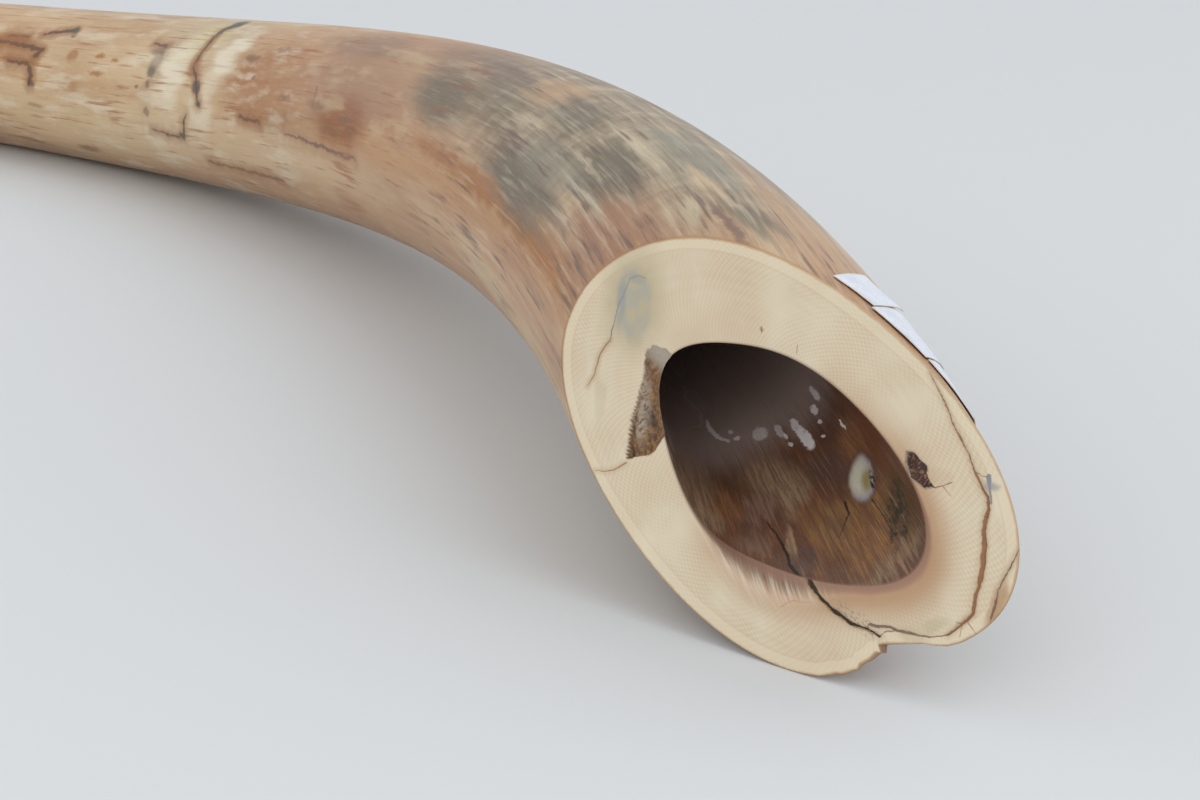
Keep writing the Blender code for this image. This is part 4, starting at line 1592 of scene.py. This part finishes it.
@dataclass(frozen=True)
class Bark:
    """The outer layer: tan with lengthwise streaks, grey-green and cream patches, and stains."""

    tan: Colour = (0.50, 0.295, 0.145)
    rose: Colour = (0.42, 0.225, 0.115)
    straw: Colour = (0.58, 0.43, 0.25)
    cream: Colour = (0.50, 0.42, 0.28)
    chalk: Colour = (0.72, 0.65, 0.50)
    green: Colour = (0.105, 0.085, 0.050)
    blue: Colour = (0.235, 0.22, 0.16)
    violet: Colour = (0.165, 0.090, 0.060)
    amber: Colour = (0.31, 0.108, 0.008)
    brown: Colour = (0.17, 0.072, 0.026)
    dark: Colour = (0.055, 0.035, 0.022)
    moss: Colour = (0.055, 0.062, 0.042)
    dash: Colour = (0.105, 0.055, 0.040)
    rust: Colour = (0.30, 0.090, 0.010)
    scorch: Colour = (0.27, 0.090, 0.012)
    edge: Colour = (0.36, 0.20, 0.10)
    round_mm: float = 60.0
    slide_mm: float = 80.0
    tint_step_mm: float = 310.0
    scorch_mm: float = 8.5

    def zones(self) -> tuple[Patch, ...]:
        """Soft patches on the unrolled bark.

        Returns:
            For each its centre, half axes, turn, strength and colour.
        """
        return (
            (70, 870, 75, 190, 0, 0.75, self.straw), (30, 760, 30, 60, 0, 0.5, self.cream),
            (33, 752, 21, 20, 0, 0.75, (0.60, 0.52, 0.27)),
            (50, 706, 24, 15, 8, 0.95, self.chalk), (84, 716, 18, 12, 8, 0.85, self.chalk),
            (66, 768, 26, 16, 0, 0.95, self.chalk), (98, 728, 18, 14, 0, 0.7, self.chalk),
            (72, 795, 38, 8, 12, 0.35, self.violet), (60, 905, 20, 26, 0, 0.30, self.amber),
            (86, 900, 9, 12, 0, 0.45, self.amber), (84, 868, 8, 60, 0, 0.35, self.amber),
            (50, 660, 9, 30, 0, 0.45, self.amber), (74, 668, 14, 40, 0, 0.40, self.amber),
            (22, 545, 14, 52, 0, 0.55, self.violet), (54, 500, 20, 70, 0, 0.30, self.violet),
            (58, 985, 24, 32, 0, 0.6, self.amber), (110, 800, 24, 110, 0, 0.6, self.straw),
            (104, 560, 15, 110, 0, 0.6, self.straw),
            (77, 508, 14, 38, 0, 1.0, (0.25, 0.075, 0.006)),
            (60, 640, 26, 45, 0, 0.40, self.amber), (30, 870, 16, 60, 0, 0.35, self.amber),
            (73, 610, 16, 45, 0, 0.35, self.amber), (73, 255, 5, 165, 0, 0.90, self.amber),
            (70, 135, 6, 42, 0, 0.65, self.amber), (46, 385, 15, 48, 8, 0.85, self.green),
            (30, 330, 20, 75, 0, 0.50, self.green), (10, 400, 22, 70, 0, 0.45, self.violet),
            (60, 215, 13, 55, 3, 0.90, self.green), (27, 158, 15, 36, 0, 0.90, self.green),
            (18, 238, 12, 26, 0, 0.75, self.green), (44, 205, 10, 40, 0, 0.75, self.blue),
            (-7, 150, 13, 46, 0, 0.80, self.blue), (-10, 76, 10, 15, 0, 0.75, self.green),
            (-34, 120, 13, 60, 0, 0.5, self.tan), (-45, 175, 12, 70, 0, 0.45, self.blue),
            (36, 266, 4.5, 15, 0, 0.55, self.cream), (10, 170, 5, 42, 0, 0.55, self.cream),
            (33, 182, 2, 26, 0, 0.55, self.cream), (13, 88, 10, 11, 0, 0.70, self.cream),
            (-2, 112, 5, 18, 0, 0.75, self.straw),
            (47, 95, 26, 40, 0, 0.80, (0.30, 0.135, 0.062)), (12, 290, 14, 25, 0, 0.6, self.tan),
            (137, 900, 4, 13, 0, 0.8, self.brown))

    def blots(self) -> tuple[Patch, ...]:
        """Small blots on the far stretch, and a dark streak at the cut.

        Returns:
            For each its centre, half axes, turn, strength and colour.
        """
        return (
            (36, 921, 3.2, 5, 0, 0.9, self.moss), (42, 918, 2, 2.5, 0, 0.6, self.dark),
            (66, 797, 4.5, 5.5, 0, 0.75, self.moss), (50, 800, 3, 9, 0, 0.6, self.violet),
            (76, 797, 2.6, 3, 0, 0.7, self.brown), (95, 797, 2.2, 4, 0, 0.6, self.brown),
            (11, 744, 6, 9, 60, 0.9, self.moss), (57, 796, 8, 7, 0, 0.45, self.violet),
            (73, 730, 4, 6, 0, 0.85, self.dark), (85, 723, 3, 3, 0, 0.85, self.moss),
            (108, 750, 3, 4, 0, 0.9, self.moss), (78, 812, 1.6, 2.5, 0, 0.8, self.brown),
            (86, 948, 3, 4, 0, 0.7, self.dark), (103, 945, 2, 9, 0, 0.45, self.brown),
            (112, 945, 1.6, 8, 0, 0.35, self.brown), (48, 672, 3, 9, 0, 0.7, self.brown),
            (57, 668, 2.2, 12, 0, 0.8, self.amber), (66, 672, 2.4, 14, 0, 0.8, self.amber),
            (64, 645, 2, 12, 0, 0.7, self.amber), (71, 600, 2, 9, 0, 0.6, self.brown),
            (76, 500, 2, 12, 0, 0.7, self.brown), (81, 488, 2, 10, 0, 0.6, self.brown),
            (60, 905, 5, 6, 0, 0.7, self.amber), (58, 870, 2, 5, 0, 0.8, self.amber),
            (72, 868, 2, 9, 0, 0.8, self.amber), (60, 850, 1.8, 5, 0, 0.8, self.amber),
            (38, 640, 2, 9, 0, 0.5, self.brown), (62, 655, 2, 3, 0, 0.7, self.violet),
            (2, 66, 2.2, 26, -4, 0.85, self.violet), (72, 550, 2.4, 13, 0, 0.55, self.brown),
            (84, 520, 2.6, 15, 0, 0.45, self.brown))

    def make(self) -> bpy.types.Material:
        """Makes the material on the bark unrolled from its top line, in millimetres.

        Returns:
            The material.
        """
        shader = Shader("tusk_bark", 0.42, 1.5)
        grain = shader.attribute("grain", 1000)
        x, y, s = shader.parts(grain)
        angle = shader.math("ARCTAN2", shader.times(x, -1.0), y)
        bark = shader.join(shader.times(angle, self.round_mm), s)
        long_cells = shader.vector("MULTIPLY", grain, (1.0, 1.0, 0.16))
        fine = shader.noise(grain, (0.30, 0.30, 0.018), 4.0, 0.6)
        finer = shader.noise(grain, (0.85, 0.85, 0.035), 4.0, 0.6)
        clouds = shader.noise(long_cells, (0.028, 0.028, 0.028), 4.0, 0.55)
        colour = shader.mix(shader.step(0.35, 0.65, clouds), self.rose, self.tan)
        tints = ((self.straw, 0.50, 0.66, 0.75), (self.green, 0.60, 0.72, 0.6),
                 (self.violet, 0.58, 0.72, 0.45), (self.amber, 0.62, 0.72, 0.5))
        for index, (tint, low, high, strength) in enumerate(tints):
            away = (self.tint_step_mm * index + 97.0, 0.0, 0.0)
            patch = shader.noise(shader.vector("ADD", long_cells, away), (0.022, 0.022, 0.022),
                                 3.0, 0.6)
            colour = shader.mix(shader.step(low, high, patch, strength), colour, tint)
        combed = shader.noise(bark, (0.12, 0.004, 1.0), 3.0, 0.6)
        calm = shader.step(260.0, 560.0, s, 0.72)
        slide = shader.times(shader.math("SUBTRACT", combed, 0.5),
                             shader.math("SUBTRACT", 1.0, calm), self.slide_mm)
        near = shader.vector("ADD", shader.warp(bark, 16.0, 5.0, 3.0), shader.join(0.0, slide))
        ragged = shader.math("MINIMUM", shader.math("MULTIPLY_ADD", fine, 1.1, 0.42), 1.0)
        colour = self.weave(shader, bark, near, colour)
        colour = shader.patches(near, colour, self.zones(), 0.5, ragged)
        colour = self.streaks(shader, bark, fine, finer, colour)
        torn = shader.warp(shader.warp(bark, 9.0, 3.0), 2.5, 1.2)
        colour = shader.cracks(torn, colour, BARK_LINES, self.scorch, self.scorch_mm, 0.9)
        colour = shader.patches(torn, colour, self.blots())
        below = shader.math("MULTIPLY", shader.parts(shader.attribute("edges", 1000))[1], -1.0)
        colour = shader.mix(shader.step(3.2, 0.6, below, 0.55), colour, self.edge)
        height = shader.math("ADD", shader.times(fine, 0.6), shader.times(finer, 0.25))
        rough = shader.math("MULTIPLY_ADD", fine, 0.22, 0.30)
        for name, value in (("Coat Weight", 0.22), ("Coat Roughness", 0.30)):
            shader.put(shader.surface.inputs[name], value)
        return shader.finish(colour, rough, height, 0.55, 0.0007)

    def weave(self, shader: Shader, bark: Socket, near: Socket, colour: Socket) -> Socket:
        """Grey-green and cream threads crossed by faint bands, over the top near the cut.

        Args:
            shader: the material in work.
            bark: place on the unrolled bark.
            near: the same, pushed about.
            colour: the colour so far.

        Returns:
            The colour with the weave.
        """
        threads = shader.noise(bark, (0.20, 0.009, 1.0), 5.0, 0.68)
        bands = shader.noise(bark, (0.022, 0.055, 1.0), 4.0, 0.65)
        value = shader.math("ADD", shader.times(threads, 0.6), shader.times(bands, 0.4))
        woven = shader.paint(self.green, (shader.step(0.42, 0.50, value), self.blue),
                             (shader.step(0.50, 0.60, value), self.cream))
        return shader.patches(near, colour, ((6, 235, 60, 170, 0, 0.72, woven),), 0.35)

    def streaks(self, shader: Shader, bark: Socket, fine: Socket, finer: Socket,
                colour: Socket) -> Socket:
        """Lengthwise streaks: pale threads, darker threads, and short violet dashes near the cut.

        Args:
            shader: the material in work.
            bark: place on the unrolled bark.
            fine: noise with cells of some millimetres, stretched lengthwise.
            finer: the same with smaller cells.
            colour: the colour so far.

        Returns:
            The colour with the streaks.
        """
        _, along, _ = shader.parts(bark)
        far = shader.step(240.0, 480.0, along)
        close = shader.math("SUBTRACT", 1.0, far)
        pale = shader.step(520.0, 640.0, along)
        lively = shader.math("MULTIPLY_ADD", close, 0.45, 0.30)
        wash = shader.noise(bark, (0.060, 0.016, 1.0), 5.0, 0.6)
        layers = ((0.48, 0.66, wash, pale, 0.50, self.chalk),
                  (0.50, 0.34, wash, far, 0.45, self.straw),
                  (0.52, 0.70, fine, lively, 0.36, self.chalk),
                  (0.48, 0.30, fine, lively, 0.46, self.violet),
                  (0.54, 0.70, finer, lively, 0.20, self.cream),
                  (0.46, 0.30, finer, lively, 0.28, self.brown))
        for low, high, cells, where, strength, tint in layers:
            mask = shader.times(shader.step(low, high, cells), where, strength)
            colour = shader.mix(mask, colour, tint)
        strokes = shader.noise(bark, (0.32, 0.017, 1.0), 4.0, 0.6)
        crowd = shader.noise(bark, (0.034, 0.015, 1.0), 3.0, 0.55)
        near_cut = shader.blob(bark, (42.0, 85.0), (60.0, 75.0), 0, 0.5)
        level = shader.math("MULTIPLY_ADD", near_cut, 0.04, strokes)
        level = shader.math("MULTIPLY_ADD", crowd, 0.45, level)
        dashes = shader.mix(far, self.dash, self.rust)
        colour = shader.mix(shader.step(0.775, 0.94, level, 0.75), colour, dashes)
        threads = shader.noise(bark, (0.30, 0.010, 1.0), 4.0, 0.65)
        over = shader.blob(bark, (10.0, 190.0), (75.0, 200.0), 0, 0.5)
        mask = shader.times(shader.step(0.56, 0.72, threads), over, 0.26)
        return shader.mix(mask, colour, self.chalk)


@dataclass(frozen=True)
class Paper:
    """Blank bluish-white paper: soft fibres, a faint cockle, and greyed edges."""

    white: Colour = (0.70, 0.73, 0.80)
    grey: Colour = (0.52, 0.55, 0.62)
    warm: Colour = (0.62, 0.58, 0.52)

    def make(self) -> bpy.types.Material:
        """Makes the material from the strip's own place and size, in millimetres.

        Returns:
            The material.
        """
        shader = Shader("label_paper", 0.8, 1.45)
        place = shader.attribute("paper", 1000)
        x, y, _ = shader.parts(place)
        wide, tall, _ = shader.parts(shader.attribute("paper_size", 1000))
        fibres = shader.noise(place, (0.9, 1.6, 1.0), 5.0, 0.7)
        cockle = shader.noise(place, (0.14, 0.14, 1.0), 2.0)
        side, end = (shader.math("MINIMUM", part, shader.math("SUBTRACT", size, part))
                     for part, size in ((x, wide), (y, tall)))
        worn = shader.math("ADD", shader.math("MINIMUM", side, end), shader.times(fibres, 0.9))
        colour = shader.paint(self.white, (shader.step(0.40, 0.75, fibres), self.grey),
                              (shader.step(0.45, 0.75, cockle, 0.5), self.grey),
                              (shader.step(1.4, 0.3, worn, 0.8), self.warm))
        height = shader.math("ADD", shader.times(fibres, 0.25), shader.times(cockle, 1.0))
        return shader.finish(colour, 0.82, height, 0.6, 0.0004)


class Light(Enum):
    """The two kinds of light: a far one that falls evenly, and a panel beside the object."""

    FAR = "SUN"
    PANEL = "AREA"


@dataclass
class Studio:
    """The pale floor and backdrop, the soft lights and the camera."""

    floor: Colour = (0.625, 0.645, 0.665)
    floor_half: float = 9.0
    floor_rows: int = 120
    backdrop_turn: float = 3.0
    backdrop_height: float = 8.0
    air: tuple[float, float, float, float] = (1.02, 1.0, 0.98, 1.0)
    air_strength: float = 0.83

    def ground(self) -> None:
        """Builds the floor, a grid that bends up far behind the object."""
        across = np.linspace(-self.floor_half, self.floor_half, 3)
        away = np.linspace(-self.floor_half, self.floor_half + self.backdrop_height,
                           self.floor_rows)
        start = self.floor_half - self.backdrop_turn
        bend = np.maximum(away - start, 0) / self.backdrop_turn
        turned = np.minimum(bend, math.pi / 2)
        y = np.where(bend > 0, start + self.backdrop_turn * np.sin(turned), away)
        z = self.backdrop_turn * (1 - np.cos(turned) + np.maximum(bend - math.pi / 2, 0))
        points = np.stack([np.repeat(across, len(away)), np.tile(y, 3), np.tile(z, 3)], 1)
        rows = np.arange(len(away) - 1)
        first = np.concatenate([rows, rows + len(away)])
        faces = np.stack([first, first + len(away), first + len(away) + 1, first + 1], 1)
        floor = solid("studio_floor", points, faces.tolist())
        shader = Shader("studio_floor", 0.75, 1.4)
        shader.surface.inputs["Specular IOR Level"].default_value = 0.15
        place = shader.add("ShaderNodeTexCoord").outputs["Object"]
        cloud = shader.noise(place, (0.6, 0.6, 0.6), 2.0)
        colour = shader.mix(cloud, self.floor, tuple(0.985 * part for part in self.floor))
        grit = shader.noise(place, (400.0, 400.0, 400.0), 2.0)
        floor.data.materials.append(shader.finish(colour, 0.75, grit, 0.05, 0.0004))

    def light(self, kind: Light, name: str, place: tuple[float, float, float], power: float,
              size: float, colour: Colour) -> None:
        """Adds one broad light, turned towards the origin.

        Args:
            kind: far, or a square panel.
            name: its name.
            place: where it stands. A far light counts only its direction.
            power: its strength, for a panel in watts.
            size: the angle that it fills in degrees, or the panel's side.
            colour: its tint.
        """
        data = bpy.data.lights.new(name, kind.value)
        data.energy = power
        data.color = colour
        if kind is Light.FAR:
            data.angle = math.radians(size)
        else:
            data.size = size
        lamp = bpy.data.objects.new(name, data)
        lamp.location = place
        lamp.rotation_euler = light_turn(-np.array(place))
        bpy.context.collection.objects.link(lamp)

    def build(self, middle: np.ndarray) -> None:
        """Builds the floor, the lights round the cut's middle, the world and the camera.

        Args:
            middle: the cut's middle, from which the photograph's camera is placed.
        """
        self.ground()
        x, y = float(middle[0]), float(middle[1])
        front = (x - 1.6, y - 3.2, 1.7)
        self.light(Light.FAR, "key", (0.66, -0.04, 0.85), 0.90, 65.0, (0.90, 1.0, 1.10))
        self.light(Light.FAR, "back", (0.35, 0.80, 0.45), 0.42, 45.0, (0.96, 1.0, 1.06))
        self.light(Light.PANEL, "front", front, 38.0, 3.2, (1.03, 1.0, 0.95))
        world = bpy.data.worlds.new("studio_world")
        world.use_nodes = True
        air = world.node_tree.nodes["Background"]
        air.inputs["Color"].default_value = self.air
        air.inputs["Strength"].default_value = self.air_strength
        bpy.context.scene.world = world
        data = bpy.data.cameras.new("camera")
        data.lens = data.sensor_width * PHOTO_FOCAL / PHOTO_WIDTH
        camera = bpy.data.objects.new("camera", data)
        right, ahead = CUT_MIDDLE_FROM_CAMERA
        camera.location = (x - right, y - ahead, CAMERA_HEIGHT)
        camera.rotation_euler = (math.pi / 2 - CAMERA_PITCH, 0.0, 0.0)
        bpy.context.collection.objects.link(camera)
        bpy.context.scene.camera = camera
        bpy.context.scene.view_settings.view_transform = "Standard"


def light_turn(toward: np.ndarray) -> tuple[float, float, float]:
    """Rotation that turns a light's -Z axis to a direction, with no roll."""
    flat = math.hypot(toward[0], toward[1])
    return (math.atan2(flat, -toward[2]), 0.0, math.atan2(-toward[0], toward[1]))


def corners(piece: bpy.types.Object) -> tuple[np.ndarray, np.ndarray]:
    """Lowest and highest corner of a piece's mesh.

    Args:
        piece: a mesh object at the origin.

    Returns:
        The two corners.
    """
    points = np.empty(len(piece.data.vertices) * 3)
    piece.data.vertices.foreach_get("co", points)
    points = points.reshape(-1, 3)
    return points.min(0), points.max(0)


def report(piece: bpy.types.Object) -> None:
    """Logs a piece's name and the size of its mesh."""
    mesh = piece.data
    log.info("%s: %d points, %d faces", piece.name, len(mesh.vertices), len(mesh.polygons))


def main() -> None:
    """Builds the tusk, its paper strips and the studio, in the frame's place."""
    sweep = Sweep()
    cut = Cut(sweep)
    low, high = (np.array(corner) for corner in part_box("tusk"))
    trial = Tusk(sweep, cut).build()
    own_low, own_high = corners(trial)
    bpy.data.objects.remove(trial)
    sweep.shift = np.array([*((low + high - own_low - own_high) / 2)[:2], low[2] - own_low[2]])
    log.info("shift %s, size %s, in the frame %s", sweep.shift, own_high - own_low, high - low)
    body = Tusk(sweep, cut)
    tusk = body.build()
    body.dress(tusk)
    report(tusk)
    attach(tusk, "root")
    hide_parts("tusk")
    paper = Paper().make()
    strips = (PaperStrip("label_upper_paper", 64.5, 53.5, 0.0145, 0.0010),
              PaperStrip("label_middle_paper", 55.2, 40.5, 0.0095, 0.0005),
              PaperStrip("label_lower_paper", 39.5, 26.0, 0.011, 0.0008))
    for strip in strips:
        piece = strip.build(sweep, cut)
        strip.dress(piece, paper)
        report(piece)
        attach(piece, "root")
        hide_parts(strip.name.removesuffix("_paper"))
    Studio().build(cut.middle())


if __name__ == "__main__":
    main()
